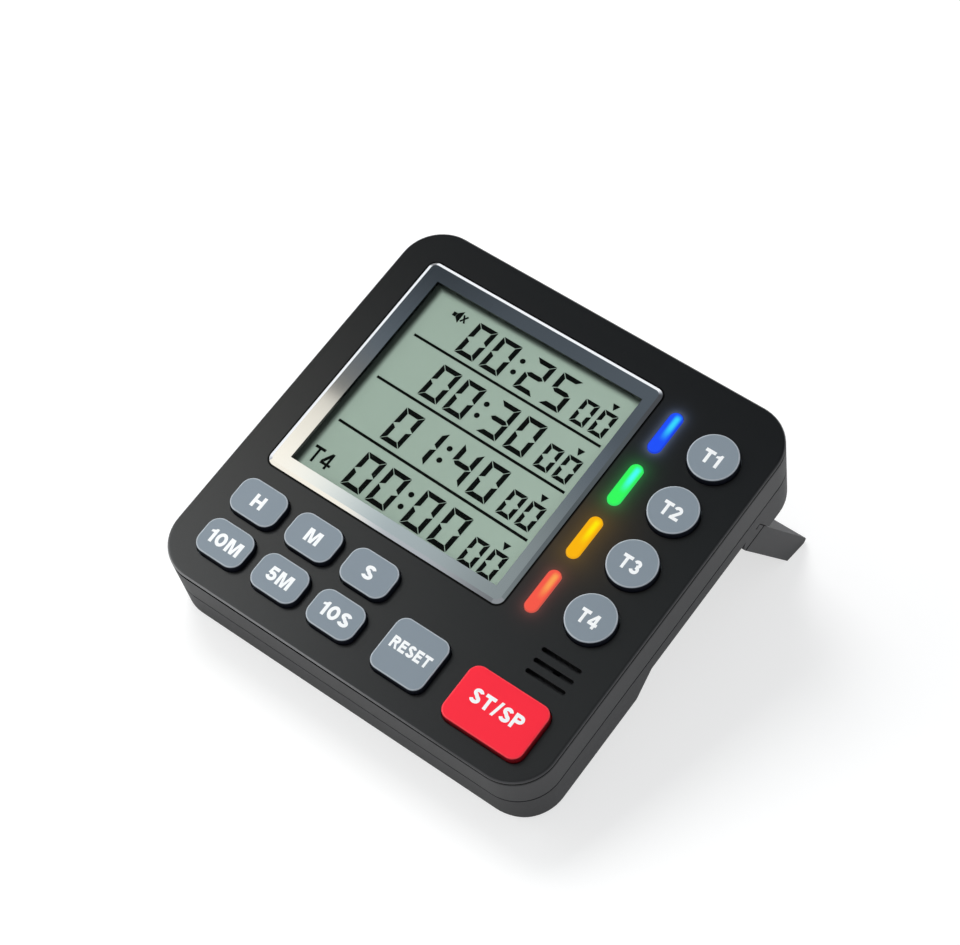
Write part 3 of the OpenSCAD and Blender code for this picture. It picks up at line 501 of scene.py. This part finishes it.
NODE_FINISH = {
    "front_case": face_finish(),
    "display_bezel": bezel_finish(),
    "display_window": window_finish(),
    "lcd_panel": glass_finish(),
    "light_bar_blue": lit_bar("light_blue", BLUE),
    "light_bar_green": lit_bar("light_green", GREEN),
    "light_bar_amber": lit_bar("light_amber", AMBER),
    "light_bar_red": lit_bar("light_red", RED),
    "key_start_stop": KEY_RED,
    "circuit_board": board_finish(),
    "status_leds": print_finish("lamp_white", (0.85, 0.83, 0.75)),
    "stand": stand_finish(),
}
SHARED_FINISH = (
    (SHELL, ("back_cover", "battery_door")),
    (DARK_PLASTIC, ("lcd_holder", "tact_switches", "controller_blob", "buzzer", "slide_switch", "volume_knob")),
    (STEEL, ("lcd_pins", "quartz_crystal", "bridge_contact", "terminal_contacts", "case_screws",
             "board_screws")),
    (CELL, ("battery_cell_upper", "battery_cell_lower")),
)
for finish, nodes in SHARED_FINISH:
    NODE_FINISH.update((node, finish) for node in nodes)

for node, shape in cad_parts.items():
    shape.data.materials.clear()
    shape.data.materials.append(NODE_FINISH.get(node, KEY_GREY))


# Pieces made here

def add_object(name, data):
    made = bpy.data.objects.new(name, data)
    bpy.context.scene.collection.objects.link(made)
    return made


def settle(name, mesh, finish, body):
    """A finished piece: at the origin, with its place in its mesh."""
    piece = add_object(name, mesh)
    mesh.materials.clear()
    mesh.materials.append(finish)
    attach(piece, body)


def outward(mesh):
    """Merges doubles and turns all faces outwards."""
    work = bmesh.new()
    work.from_mesh(mesh)
    bmesh.ops.remove_doubles(work, verts=work.verts, dist=WELD * MM)
    bmesh.ops.recalc_face_normals(work, faces=work.faces)
    work.to_mesh(mesh)
    work.free()
    return mesh


def evaluated_mesh(name, made):
    """Plain mesh of an object with its modifiers applied; the object is removed."""
    view = bpy.context.evaluated_depsgraph_get()
    mesh = bpy.data.meshes.new_from_object(made.evaluated_get(view))
    mesh.name = name
    bpy.data.objects.remove(made)
    return mesh


def add_prism(work, outline, low, high):
    bottom = [work.verts.new((x, y, low)) for x, y in outline]
    top = [work.verts.new((x, y, high)) for x, y in outline]
    count = len(outline)
    work.faces.new(bottom[::-1])
    work.faces.new(top)
    for i in range(count):
        work.faces.new((bottom[i], bottom[(i + 1) % count], top[(i + 1) % count], top[i]))


def prisms_mesh(name, prisms):
    """Mesh of closed flat prisms, each with its outline, lower level and upper level."""
    work = bmesh.new()
    for outline, low, high in prisms:
        add_prism(work, outline, low, high)
    mesh = bpy.data.meshes.new(name)
    work.to_mesh(mesh)
    work.free()
    return mesh


# Letters drawn with strokes of even width, on a height of one

LEGEND_WEIGHT = 0.235
LETTER_SPACE = 0.12
STROKE_STEP = 0.08


def arc(x, y, wide, high, start, end, steps=16):
    turns = [math.radians(start + (end - start) * i / steps) for i in range(steps + 1)]
    return [(x + wide * math.cos(t), y + high * math.sin(t)) for t in turns]


def rectangle(x0, y0, x1, y1):
    return [(x0, y0), (x1, y0), (x1, y1), (x0, y1)]


def ribbon(path, weight):
    """Outline of a stroke along a path."""
    points = [Vector(point) for point in path]
    left, right = [], []
    for i, here in enumerate(points):
        into = (here - points[i - 1]).normalized() if i else (points[1] - here).normalized()
        away = (points[i + 1] - here).normalized() if i + 1 < len(points) else into
        mean = (into + away).normalized()
        reach = Vector((-mean.y, mean.x)) * weight / 2 / mean.dot(into)
        left.append((here + reach)[:])
        right.append((here - reach)[:])
    return left + right[::-1]


def letter(sign, w):
    """Width of a letter and the outlines of its strokes, which may overlap."""
    h = w / 2
    stem = rectangle(0, 0, w, 1)
    if sign == "T":
        return 0.78, [rectangle(0, 1 - w, 0.78, 1), rectangle(0.39 - h, 0, 0.39 + h, 1 - h)]
    if sign == "H":
        return 0.82, [stem, rectangle(0.82 - w, 0, 0.82, 1), rectangle(h, 0.5 - h, 0.82 - h, 0.5 + h)]
    if sign == "E":
        bars = [rectangle(h, 0, 0.68, w), rectangle(h, 0.52 - h, 0.63, 0.52 + h), rectangle(h, 1 - w, 0.67, 1)]
        return 0.68, [stem] + bars
    if sign == "M":
        half = [(0, 0), (0, 1), (1.5 * w, 1), (0.52, 0.33)]
        far = [(1.04 - x, y) for x, y in half[2::-1]]
        inner = [(0.52 + h, 0), (0.52 - h, 0), (w, 0.73), (w, 0)]
        return 1.04, [half + far + [(1.04 - w, 0), (1.04 - w, 0.73)] + inner]
    if sign == "/":
        return 0.46, [[(0, -0.03), (0.9 * w, -0.03), (0.46, 1.03), (0.46 - 0.9 * w, 1.03)]]
    if sign == "1":
        flag = [(0.44, 1), (0.28, 1), (0.20, 0.88), (0, 0.81), (0, 0.65)]
        return 0.44, [[(0.44 - w, 0), (0.44, 0)] + flag + [(0.44 - w, 0.69)]]
    if sign == "4":
        bar = rectangle(h, 0.20, 0.78, 0.20 + 0.9 * w)
        slope = [(0, 0.20), (0, 0.40), (0.40, 1), (0.52, 1), (0.52, 0.84), (0.12, 0.20)]
        return 0.78, [rectangle(0.42, 0, 0.42 + w, 1), bar, slope]
    if sign == "0":
        side = (0.39, 0.5, 0.39 - h, 0.5 - h)
        return 0.78, [ribbon(arc(*side, 84, 276), w), ribbon(arc(*side, -96, 96), w)]
    if sign == "2":
        bowl = arc(0.35, 0.70, 0.35 - h, 0.3 - h, 172, -38)
        return 0.72, [ribbon(bowl + [(0.12, 0.11)], w), rectangle(0.02, 0, 0.72, 0.92 * w)]
    if sign == "3":
        upper = arc(0.35, 0.71, 0.32 - h, 0.29 - h, 165, -90)
        lower = arc(0.36, 0.31, 0.36 - h, 0.31 - h, 90, -168)
        return 0.72, [ribbon(upper, w), ribbon(lower, w)]
    if sign == "5":
        flag = [(0.67, 1), (0.13, 1), (0.05, 0.46), (0.22, 0.44), (0.28, 1 - w), (0.67, 1 - w)]
        return 0.73, [flag, ribbon(arc(0.36, 0.335, 0.37 - h, 0.335 - h, 142, -168), w)]
    if sign == "S":
        upper = arc(0.36, 0.72, 0.35 - h, 0.28 - h, 14, 268)
        lower = arc(0.36, 0.28, 0.37 - h, 0.28 - h, 88, -168)
        return 0.73, [ribbon(upper[:-1] + [(0.36, 0.5)] + lower[1:], w)]
    foot = 0.40 if sign == "P" else 0.42
    middle, reach = (1 + foot) / 2, (1 - foot) / 2 - h
    bowl = [(h, 1 - h)] + arc(0.42, middle, 0.34 - h, reach, 90, -90) + [(h, foot + h)]
    if sign == "P":
        return 0.76, [stem, ribbon(bowl, w)]
    return 0.80, [stem, ribbon(bowl, w), [(0.31, 0.5), (0.54, 0.5), (0.82, 0), (0.58, 0)]]


def words_mesh(name, words, weight):
    """Words as flat prisms; each stroke of a letter is a little lower than the one before."""
    prisms = []
    start = 0.0
    for sign in words:
        width, outlines = letter(sign, weight)
        for i, outline in enumerate(outlines):
            prisms.append(([(start + x, y) for x, y in outline], 0.0, 1.0 - STROKE_STEP * i))
        start += width + LETTER_SPACE
    return prisms_mesh(name, prisms)


def fit_words(mesh, middle, width, height, low, relief):
    """Scales flat words to a width and height about a place, between two levels."""
    limits = [(min(v.co[i] for v in mesh.vertices), max(v.co[i] for v in mesh.vertices)) for i in range(3)]
    sizes = (width, height, relief)
    goal = (middle[0], middle[1], low + relief / 2)
    scale = [size / (last - first) for size, (first, last) in zip(sizes, limits)]
    for v in mesh.vertices:
        v.co = [goal[i] + (v.co[i] - sum(limits[i]) / 2) * scale[i] for i in range(3)]
    mesh.transform(FACE)
    return outward(mesh)


def legend(node, words, middle, width, height):
    """White word printed on a key, which rides with it."""
    name = "legend_" + node
    mesh = words_mesh(name, words, LEGEND_WEIGHT)
    fit_words(mesh, middle, width, height, KEY_TOP - PRINT_LIFT, PRINT_RELIEF + PRINT_LIFT)
    settle(name, mesh, LEGEND, node)


# Words, middle, width and height of each legend
LEGENDS = {
    "key_hours": ("H", (SMALL_X[0], SMALL_Y[0]), 2.8, 3.2),
    "key_minutes": ("M", (SMALL_X[1], SMALL_Y[0]), 3.5, 3.2),
    "key_seconds": ("S", (SMALL_X[2], SMALL_Y[0]), 2.5, 3.3),
    "key_ten_minutes": ("10M", (SMALL_X[0], SMALL_Y[1]), 8.4, 3.3),
    "key_five_minutes": ("5M", (SMALL_X[1], SMALL_Y[1]), 6.1, 3.3),
    "key_ten_seconds": ("10S", (SMALL_X[2], SMALL_Y[1]), 7.4, 3.3),
    "key_reset": ("RESET", (RESET_X, RESET_WORD_Y), 9.9, 2.75),
    "key_start_stop": ("ST/SP", (START_X, START_WORD_Y), 12.5, 3.6),
}
for i, y in enumerate(ROUND_Y):
    middle = (ROUND_X - ROUND_WORD_LEFT, y - ROUND_WORD_DROP)
    LEGENDS["key_t%d" % (i + 1)] = ("T%d" % (i + 1), middle, 4.75 if i else 4.25, 3.35)
for node, (words, middle, width, height) in LEGENDS.items():
    legend(node, words, middle, width, height)


# Digits of the display: one point for each lit bar, and a tree that puts a bar on each point

DIGIT_W, DIGIT_H, DIGIT_BAR = 5.22, 9.30, 1.19
SMALL_DIGIT, SMALL_BAR = 0.71, 0.96
JOINT_GAP = 0.11
DIGIT_SLANT = math.tan(math.radians(2.5))
ROW_Y, ROW_PITCH = 30.139, 13.18
BIG_X = (-22.602, -15.813, -6.378, 0.710)
SMALL_DIGIT_X = (7.948, 12.791)
HOURS_AND_MINUTES, SECONDS = 0, 1
ROWS = (("0025", "00"), ("0030", "00"), ("0140", "00"), ("0000", "00"))
END_BAR, SIDE_BAR, MIDDLE_BAR = range(3)
BAR_PLACES = {
    "a": (END_BAR, 1, 1), "d": (END_BAR, 1, -1), "g": (MIDDLE_BAR, 1, 1),
    "f": (SIDE_BAR, 1, 1), "b": (SIDE_BAR, -1, 1), "e": (SIDE_BAR, 1, -1), "c": (SIDE_BAR, -1, -1),
}
LIT_BARS = {"0": "abcdef", "1": "bc", "2": "abged", "3": "abgcd", "4": "fgbc", "5": "afgcd"}

# Marks of the top row, which the other rows repeat lower down
RULE_X, RULE_Y = (-35.55, 15.5), (23.67, 24.33)
COLON_X, COLON_R = -11.071, 0.66
COLON_DOTS = ((COLON_X + 0.08, 31.89), (COLON_X - 0.07, 28.49))
ARROW = ((11.75, 34.35), (12.67, 32.65), (13.58, 34.35))

# Muted-sound sign and the name of the channel
MUTE_BACK = rectangle(-31.2, 32.9, -30.3, 33.98)
MUTE_HORN = [(-30.25, 32.95), (-29.0, 31.8), (-29.0, 35.1), (-30.25, 33.98)]
MUTE_CROSS = ((-28.7, 32.5, -27.55, 34.35), (-28.7, 34.35, -27.55, 32.5))
MUTE_STROKE = 0.42
CHANNEL_PLACE, CHANNEL_SIZE, CHANNEL_WEIGHT = (-33.27, -11.18), (5.9, 4.1), 0.17


def on_glass(x, y):
    """Place of a display mark, which sits slightly turned and tapering on the glass."""
    taper = 1 - 0.000371 * x + 0.000674 * y
    return (1.020583 * x + 0.007989 * y - 0.1237) / taper, (-0.021263 * x + 1.018597 * y - 0.1083) / taper


def digit_points(columns, size, part):
    """Points of the lit bars of one part of every row, with the bar's kind and its mirroring."""
    places, kinds, flips, bases = [], [], [], []
    for row, digits in enumerate(ROWS):
        middle = ROW_Y - ROW_PITCH * row - DIGIT_H * (1 - size) / 2
        for x, digit in zip(columns, digits[part]):
            for bar in LIT_BARS[digit]:
                kind, side, end = BAR_PLACES[bar]
                places.append((x, middle, 0))
                kinds.append(kind)
                flips.append((side, end, 1))
                bases.append(middle)
    mesh = bpy.data.meshes.new("digit_points")
    mesh.from_pydata(places, [], [])
    mesh.attributes.new("bar", "INT", "POINT").data.foreach_set("value", kinds)
    signs = [sign for flip in flips for sign in flip]
    mesh.attributes.new("flip", "FLOAT_VECTOR", "POINT").data.foreach_set("vector", signs)
    mesh.attributes.new("base", "FLOAT", "POINT").data.foreach_set("value", bases)
    return mesh


def digit_tree():
    """Tree that puts a slanted, raised bar on each point."""
    tree = bpy.data.node_groups.new("digit_bars", "GeometryNodeTree")
    sockets = tree.interface
    sockets.new_socket("Geometry", in_out="INPUT", socket_type="NodeSocketGeometry")
    for name in ("Digit Width", "Digit Height", "Bar Width", "Joint Gap", "Relief", "Slant"):
        sockets.new_socket(name, in_out="INPUT", socket_type="NodeSocketFloat")
    sockets.new_socket("Ink", in_out="INPUT", socket_type="NodeSocketMaterial")
    sockets.new_socket("Geometry", in_out="OUTPUT", socket_type="NodeSocketGeometry")
    given = tree.nodes.new("NodeGroupInput").outputs
    width, height, bar, gap = (given[n] for n in ("Digit Width", "Digit Height", "Bar Width", "Joint Gap"))

    def amount(*terms):
        """Sum of sockets times factors."""
        total = None
        for socket, factor in terms:
            part = product(tree, socket, factor)
            total = part if total is None else math_node(tree, "ADD", total, part)
        return total

    def attribute(name, kind):
        node = add_node(tree, "GeometryNodeInputNamedAttribute", {"data_type": kind}, Name=name)
        return next(s for s in node.outputs if s.enabled)

    def trapezoid(outer, inner, tall, lean=0.0):
        quad = add_node(tree, "GeometryNodeCurvePrimitiveQuadrilateral", {"mode": "TRAPEZOID"},
                        Bottom_Width=outer, Top_Width=inner, Offset=lean, Height=tall)
        return add_node(tree, "GeometryNodeFillCurve", Curve=quad.outputs[0]).outputs[0]

    def put(shape, x, y, turn):
        place = add_node(tree, "ShaderNodeCombineXYZ", X=x, Y=y)
        return add_node(tree, "GeometryNodeTransform", Geometry=shape, Translation=place.outputs[0],
                        Rotation=(0, 0, turn)).outputs[0]

    def joined(*shapes):
        join = tree.nodes.new("GeometryNodeJoinGeometry")
        for shape in shapes:
            tree.links.new(shape, join.inputs[0])
        return join.outputs[0]

    end_bar = trapezoid(amount((width, 1), (gap, -2)), amount((width, 1), (bar, -2), (gap, -2)), bar)
    end = put(end_bar, 0.0, amount((height, 0.5), (bar, -0.5)), math.pi)
    side_bar = trapezoid(amount((height, 0.5), (gap, -1.5)), amount((height, 0.5), (bar, -1.6), (gap, -1.5)),
                         bar, amount((bar, 0.2)))
    side = put(side_bar, amount((width, -0.5), (bar, 0.5)), amount((height, 0.25), (gap, -0.25)), -math.pi / 2)
    half = trapezoid(amount((width, 1), (bar, -0.6), (gap, -2)), amount((width, 1), (bar, -1.9), (gap, -2)),
                     amount((bar, 0.5)))
    middle = joined(put(half, 0.0, amount((bar, 0.25)), 0.0), put(half, 0.0, amount((bar, -0.25)), math.pi))

    laid = []
    for kind, shape in ((END_BAR, end), (SIDE_BAR, side), (MIDDLE_BAR, middle)):
        chosen = add_node(tree, "FunctionNodeCompare", {"data_type": "INT", "operation": "EQUAL"},
                          i2=attribute("bar", "INT"), i3=kind)
        on_points = add_node(tree, "GeometryNodeInstanceOnPoints", Points=given["Geometry"],
                             Selection=chosen.outputs[0], Instance=shape,
                             Scale=attribute("flip", "FLOAT_VECTOR"))
        laid.append(on_points.outputs[0])
    bars = add_node(tree, "GeometryNodeRealizeInstances", Geometry=joined(*laid)).outputs[0]

    position = tree.nodes.new("GeometryNodeInputPosition").outputs[0]
    place = add_node(tree, "ShaderNodeSeparateXYZ", Vector=position).outputs
    from_middle = less(tree, place[1], attribute("base", "FLOAT"))
    lean = add_node(tree, "ShaderNodeCombineXYZ", X=product(tree, from_middle, given["Slant"]))
    bars = add_node(tree, "GeometryNodeSetPosition", Geometry=bars, Offset=lean.outputs[0]).outputs[0]
    rise = add_node(tree, "ShaderNodeCombineXYZ", Z=given["Relief"])
    raised = add_node(tree, "GeometryNodeExtrudeMesh", Mesh=bars, Offset=rise.outputs[0], Offset_Scale=1.0)
    closed = add_node(tree, "GeometryNodeMergeByDistance", Geometry=joined(bars, raised.outputs[0]),
                      Distance=WELD)
    inked = add_node(tree, "GeometryNodeSetMaterial", Geometry=closed.outputs[0], Material=given["Ink"])
    tree.links.new(inked.outputs[0], tree.nodes.new("NodeGroupOutput").inputs[0])
    return tree


def display_digits(name, tree, columns, size, part, bar):
    """One part of every row of digits, as dark print on the glass."""
    made = add_object(name, digit_points(columns, size, part))
    modifier = made.modifiers.new("digit_bars", "NODES")
    modifier.node_group = tree
    sizes = {"Digit Width": DIGIT_W * size, "Digit Height": DIGIT_H * size, "Bar Width": bar,
             "Joint Gap": JOINT_GAP, "Relief": PRINT_RELIEF, "Slant": DIGIT_SLANT, "Ink": DISPLAY_INK}
    for item in tree.interface.items_tree:
        if item.in_out == "INPUT" and item.name in sizes:
            modifier[item.identifier] = sizes[item.name]
    bpy.context.view_layer.update()
    mesh = evaluated_mesh(name, made)
    for v in mesh.vertices:
        v.co.xy = on_glass(v.co.x, v.co.y)
    mesh.transform(FACE @ Matrix.Translation((0, 0, GLASS_FRONT + PRINT_LIFT)))
    settle(name, outward(mesh), DISPLAY_INK, "case")


def disc(x, y, radius, sides=20):
    turns = [2 * math.pi * i / sides for i in range(sides)]
    return [(x + radius * math.cos(t), y + radius * math.sin(t)) for t in turns]


def stroke(x0, y0, x1, y1, wide):
    """Outline of a straight stroke."""
    along = Vector((x1 - x0, y1 - y0)).normalized() * wide / 2
    side = Vector((-along.y, along.x))
    ends = ((x0 + side.x, y0 + side.y), (x0 - side.x, y0 - side.y))
    return [*ends, (x1 - side.x, y1 - side.y), (x1 + side.x, y1 + side.y)]


def display_marks():
    """Rules between the rows, colons, arrows and the muted-sound sign."""
    outlines = []
    for row in range(len(ROWS)):
        drop = ROW_PITCH * row
        if row < len(ROWS) - 1:
            outlines.append(rectangle(RULE_X[0], RULE_Y[0] - drop, RULE_X[1], RULE_Y[1] - drop))
        outlines += [disc(x, y - drop, COLON_R) for x, y in COLON_DOTS]
        outlines.append([(x, y - drop) for x, y in ARROW])
    outlines = [[on_glass(x, y) for x, y in outline] for outline in outlines]
    outlines += [MUTE_BACK, MUTE_HORN]
    outlines += [stroke(*ends, MUTE_STROKE) for ends in MUTE_CROSS]
    low = GLASS_FRONT + PRINT_LIFT
    mesh = prisms_mesh("display_marks", [(outline, low, low + PRINT_RELIEF) for outline in outlines])
    mesh.transform(FACE)
    settle("display_marks", outward(mesh), DISPLAY_INK, "case")


def display_channel():
    """Name of the channel at the lower left of the glass."""
    mesh = words_mesh("display_channel", "T4", CHANNEL_WEIGHT)
    fit_words(mesh, CHANNEL_PLACE, *CHANNEL_SIZE, GLASS_FRONT + PRINT_LIFT, PRINT_RELIEF)
    settle("display_channel", mesh, DISPLAY_INK, "case")


BAR_TREE = digit_tree()
display_digits("display_digits", BAR_TREE, BIG_X, 1.0, HOURS_AND_MINUTES, DIGIT_BAR)
display_digits("display_small_digits", BAR_TREE, SMALL_DIGIT_X, SMALL_DIGIT, SECONDS, SMALL_BAR)
display_marks()
display_channel()


# Camera, floor and light

CAMERA_PLACE = (189.04, -158.67, 454.29)
CAMERA_RIGHT = (0.79521, 0.59417, -0.12087)
CAMERA_DOWN = (0.4822, -0.74056, -0.46804)
CAMERA_AHEAD = (-0.3676, 0.31391, -0.8754)
FOCAL_PX, IMAGE_WIDTH, SENSOR = 2443.0, 960.0, 36.0

FLOOR_HALF = 30
FLOOR_GREY = (0.42, 0.42, 0.42, 1)
FLOOR_GLOW = 0.66
FLOOR_IN_GLOSS = 0.45

CARD_LEFT, CARD_RIGHT, CARD_LOW, CARD_HIGH, CARD_Z = -1300, 460, -520, 270, 455
CARD_CREAM = (1.025, 0.95, 0.795, 1)
CARD_GREEN = (0.880, 1.0, 0.985, 1)
CARD_BLUE = (0.84, 1.0, 1.13, 1)
CARD_NEUTRAL = (0.95, 0.985, 1.0, 1)

# Places on the card, in the frame of the face, between which its brightness and its colour change
CARD_SIDES = (-262, -225)
LEFT_FALL, RIGHT_FALL = (-264, -206), (-205, -145)
BOTTOM_RISE, BOTTOM_RIGHT, BOTTOM_LEFT = (-290, -150), (-235, -120), (-300, -281)
BOOST_X, BOOST_Y = (-238, -175), (50, 118)
LEFT_TOP, LEFT_END = (125, 158), (160, 166)
RIGHT_TOP, RIGHT_END = (130, 205), (200, 232)
DIM_X, DIM_Y = (-215, -155), (163, 235)
CREAM_TO_GREEN = (-268, -215)
BLUE_X, BLUE_Y = (-100, 100), (160, 195)
NEUTRAL_TOP, NEUTRAL_BOTTOM, NEUTRAL_LEFT = (80, 115), (-330, -230), (-300, -288)

# Name, place, size and power of each lamp
SOFTBOXES = (
    ("upper_left_softbox", (-420, 340, 620), 360, 4.1),
    ("right_fill", (520, -260, 520), 500, 0.5),
)
WORLD_WHITE = (0.92, 0.95, 1.0, 1)
WORLD_FALL = (0.06, 0.5)
WORLD_BEHIND = 0.45


def photo_camera():
    data = bpy.data.cameras.new("photo_camera")
    data.sensor_width = SENSOR
    data.lens = FOCAL_PX * SENSOR / IMAGE_WIDTH
    data.clip_start, data.clip_end = 0.01, 20
    camera = add_object("photo_camera", data)
    axes = Matrix((CAMERA_RIGHT, [-c for c in CAMERA_DOWN], [-c for c in CAMERA_AHEAD])).transposed()
    camera.matrix_world = Matrix.Translation(FACE @ Vector(CAMERA_PLACE)) @ (FACE_TURN @ axes).to_4x4()
    bpy.context.scene.camera = camera


def floor():
    """Pale floor that the camera sees as white and that keeps the timer's shadow."""
    mesh = bpy.data.meshes.new("floor")
    corners = rectangle(-FLOOR_HALF, -FLOOR_HALF, FLOOR_HALF, FLOOR_HALF)
    mesh.from_pydata([(x, y, 0) for x, y in corners], [], [range(4)])
    ground = add_object("floor", mesh)
    finish, tree, shader = blank_finish("floor_white")
    path = tree.nodes.new("ShaderNodeLightPath").outputs
    seen = math_node(tree, "ADD", path["Is Camera Ray"], path["Is Transmission Ray"], clamp=True)
    seen = larger(tree, seen, product(tree, path["Is Glossy Ray"], FLOOR_IN_GLOSS))
    fill(tree, shader, Base_Color=FLOOR_GREY, Roughness=0.9, Specular_IOR_Level=0.0,
         Emission_Color=(1, 1, 1, 1), Emission_Strength=product(tree, seen, FLOOR_GLOW))
    mesh.materials.append(finish)


def softbox(name, place, size, power):
    """Area lamp at a place in the frame of the face, aimed at the middle of the face."""
    data = bpy.data.lights.new(name, "AREA")
    data.shape = "RECTANGLE"
    data.size = data.size_y = size * MM
    data.energy = power
    lamp = add_object(name, data)
    start, end = FACE @ Vector(place), FACE @ Vector((0, 0, 0))
    lamp.matrix_world = Matrix.Translation(start) @ (end - start).to_track_quat("-Z", "Y").to_matrix().to_4x4()
    lamp.visible_glossy = False


def card_level(tree, x, y):
    """Brightness over the card: strong at the left, falling off to the right, the top and the bottom."""
    def sideways(left, right):
        """One value in the left part of the card, another in the right part."""
        side = span(tree, x, 0.0, 1.0, *CARD_SIDES)
        return math_node(tree, "ADD", product(tree, left, less(tree, 1.0, side)), product(tree, right, side))

    bottom = larger(tree, span(tree, x, 0.0, 1.0, *BOTTOM_RIGHT), span(tree, x, 0.56, 0.27, *BOTTOM_LEFT))
    bottom = larger(tree, span(tree, y, 0.27, 1.0, *BOTTOM_RISE, smooth=True), bottom)
    boost = product(tree, span(tree, y, 0.7, 0.0, *BOOST_Y, smooth=True), span(tree, x, 1.0, 0.05, *BOOST_X))
    level = product(tree, span(tree, x, 1.52, 0.67, *LEFT_FALL, smooth=True),
                    span(tree, x, 1.0, 0.60, *RIGHT_FALL, smooth=True),
                    math_node(tree, "ADD", 1.0, boost), bottom)
    left_top = product(tree, span(tree, y, 1.0, 0.75, *LEFT_TOP), span(tree, y, 1.0, 0.0, *LEFT_END))
    right_top = product(tree, span(tree, y, 1.0, 0.45, *RIGHT_TOP, smooth=True),
                        span(tree, y, 1.0, 0.0, *RIGHT_END, smooth=True))
    dim = sideways(span(tree, y, 0.27, 0.07, *DIM_Y), span(tree, x, 0.12, 0.15, *DIM_X, smooth=True))
    return larger(tree, product(tree, level, sideways(left_top, right_top)), dim)


def card_tint(tree, x, y):
    """Colour over the card: cream at the left, greenish at the right, bluish at the top, neutral below."""
    tint = mix_colours(tree, span(tree, x, 0.0, 1.0, *CREAM_TO_GREEN), CARD_CREAM, CARD_GREEN)
    top = product(tree, span(tree, y, 0.0, 1.0, *BLUE_Y), span(tree, x, 1.0, 0.3, *BLUE_X))
    tint = mix_colours(tree, top, tint, CARD_BLUE)
    even = larger(tree, span(tree, y, 0.0, 1.0, *NEUTRAL_BOTTOM), span(tree, x, 0.0, 1.0, *NEUTRAL_LEFT))
    return mix_colours(tree, product(tree, span(tree, y, 1.0, 0.0, *NEUTRAL_TOP), even), tint, CARD_NEUTRAL)


def reflector_card():
    """Card in front of the face that the bezel and the face mirror."""
    mesh = bpy.data.meshes.new("reflector_card")
    corners = rectangle(CARD_LEFT, CARD_LOW, CARD_RIGHT, CARD_HIGH)
    mesh.from_pydata([(x, y, CARD_Z) for x, y in corners], [], [range(4)])
    mesh.transform(FACE)
    card = add_object("reflector_card", mesh)
    finish, tree, _ = blank_finish("card_glow")
    x, y, _ = face_place(tree)
    glow = add_node(tree, "ShaderNodeEmission", Color=card_tint(tree, x, y), Strength=card_level(tree, x, y))
    set_surface(tree, glow)
    mesh.materials.append(finish)
    card.visible_camera = False
    card.visible_shadow = False


def studio():
    """Soft lamps, the card, and a world that is bright low down and dim above."""
    for lamp in SOFTBOXES:
        softbox(*lamp)
    reflector_card()
    world = bpy.data.worlds.new("studio")
    bpy.context.scene.world = world
    world.use_nodes = True
    tree = world.node_tree
    way = tree.nodes.new("ShaderNodeTexCoord").outputs["Generated"]
    look = add_node(tree, "ShaderNodeSeparateXYZ", Vector=way).outputs
    behind = product(tree, larger(tree, look[1], 0.0), WORLD_BEHIND)
    strength = span(tree, less(tree, look[2], behind), 1.0, 0.11, *WORLD_FALL, smooth=True)
    fill(tree, tree.nodes["Background"], Color=WORLD_WHITE, Strength=strength)


photo_camera()
floor()
studio()
bpy.context.scene.view_settings.view_transform = "Standard"
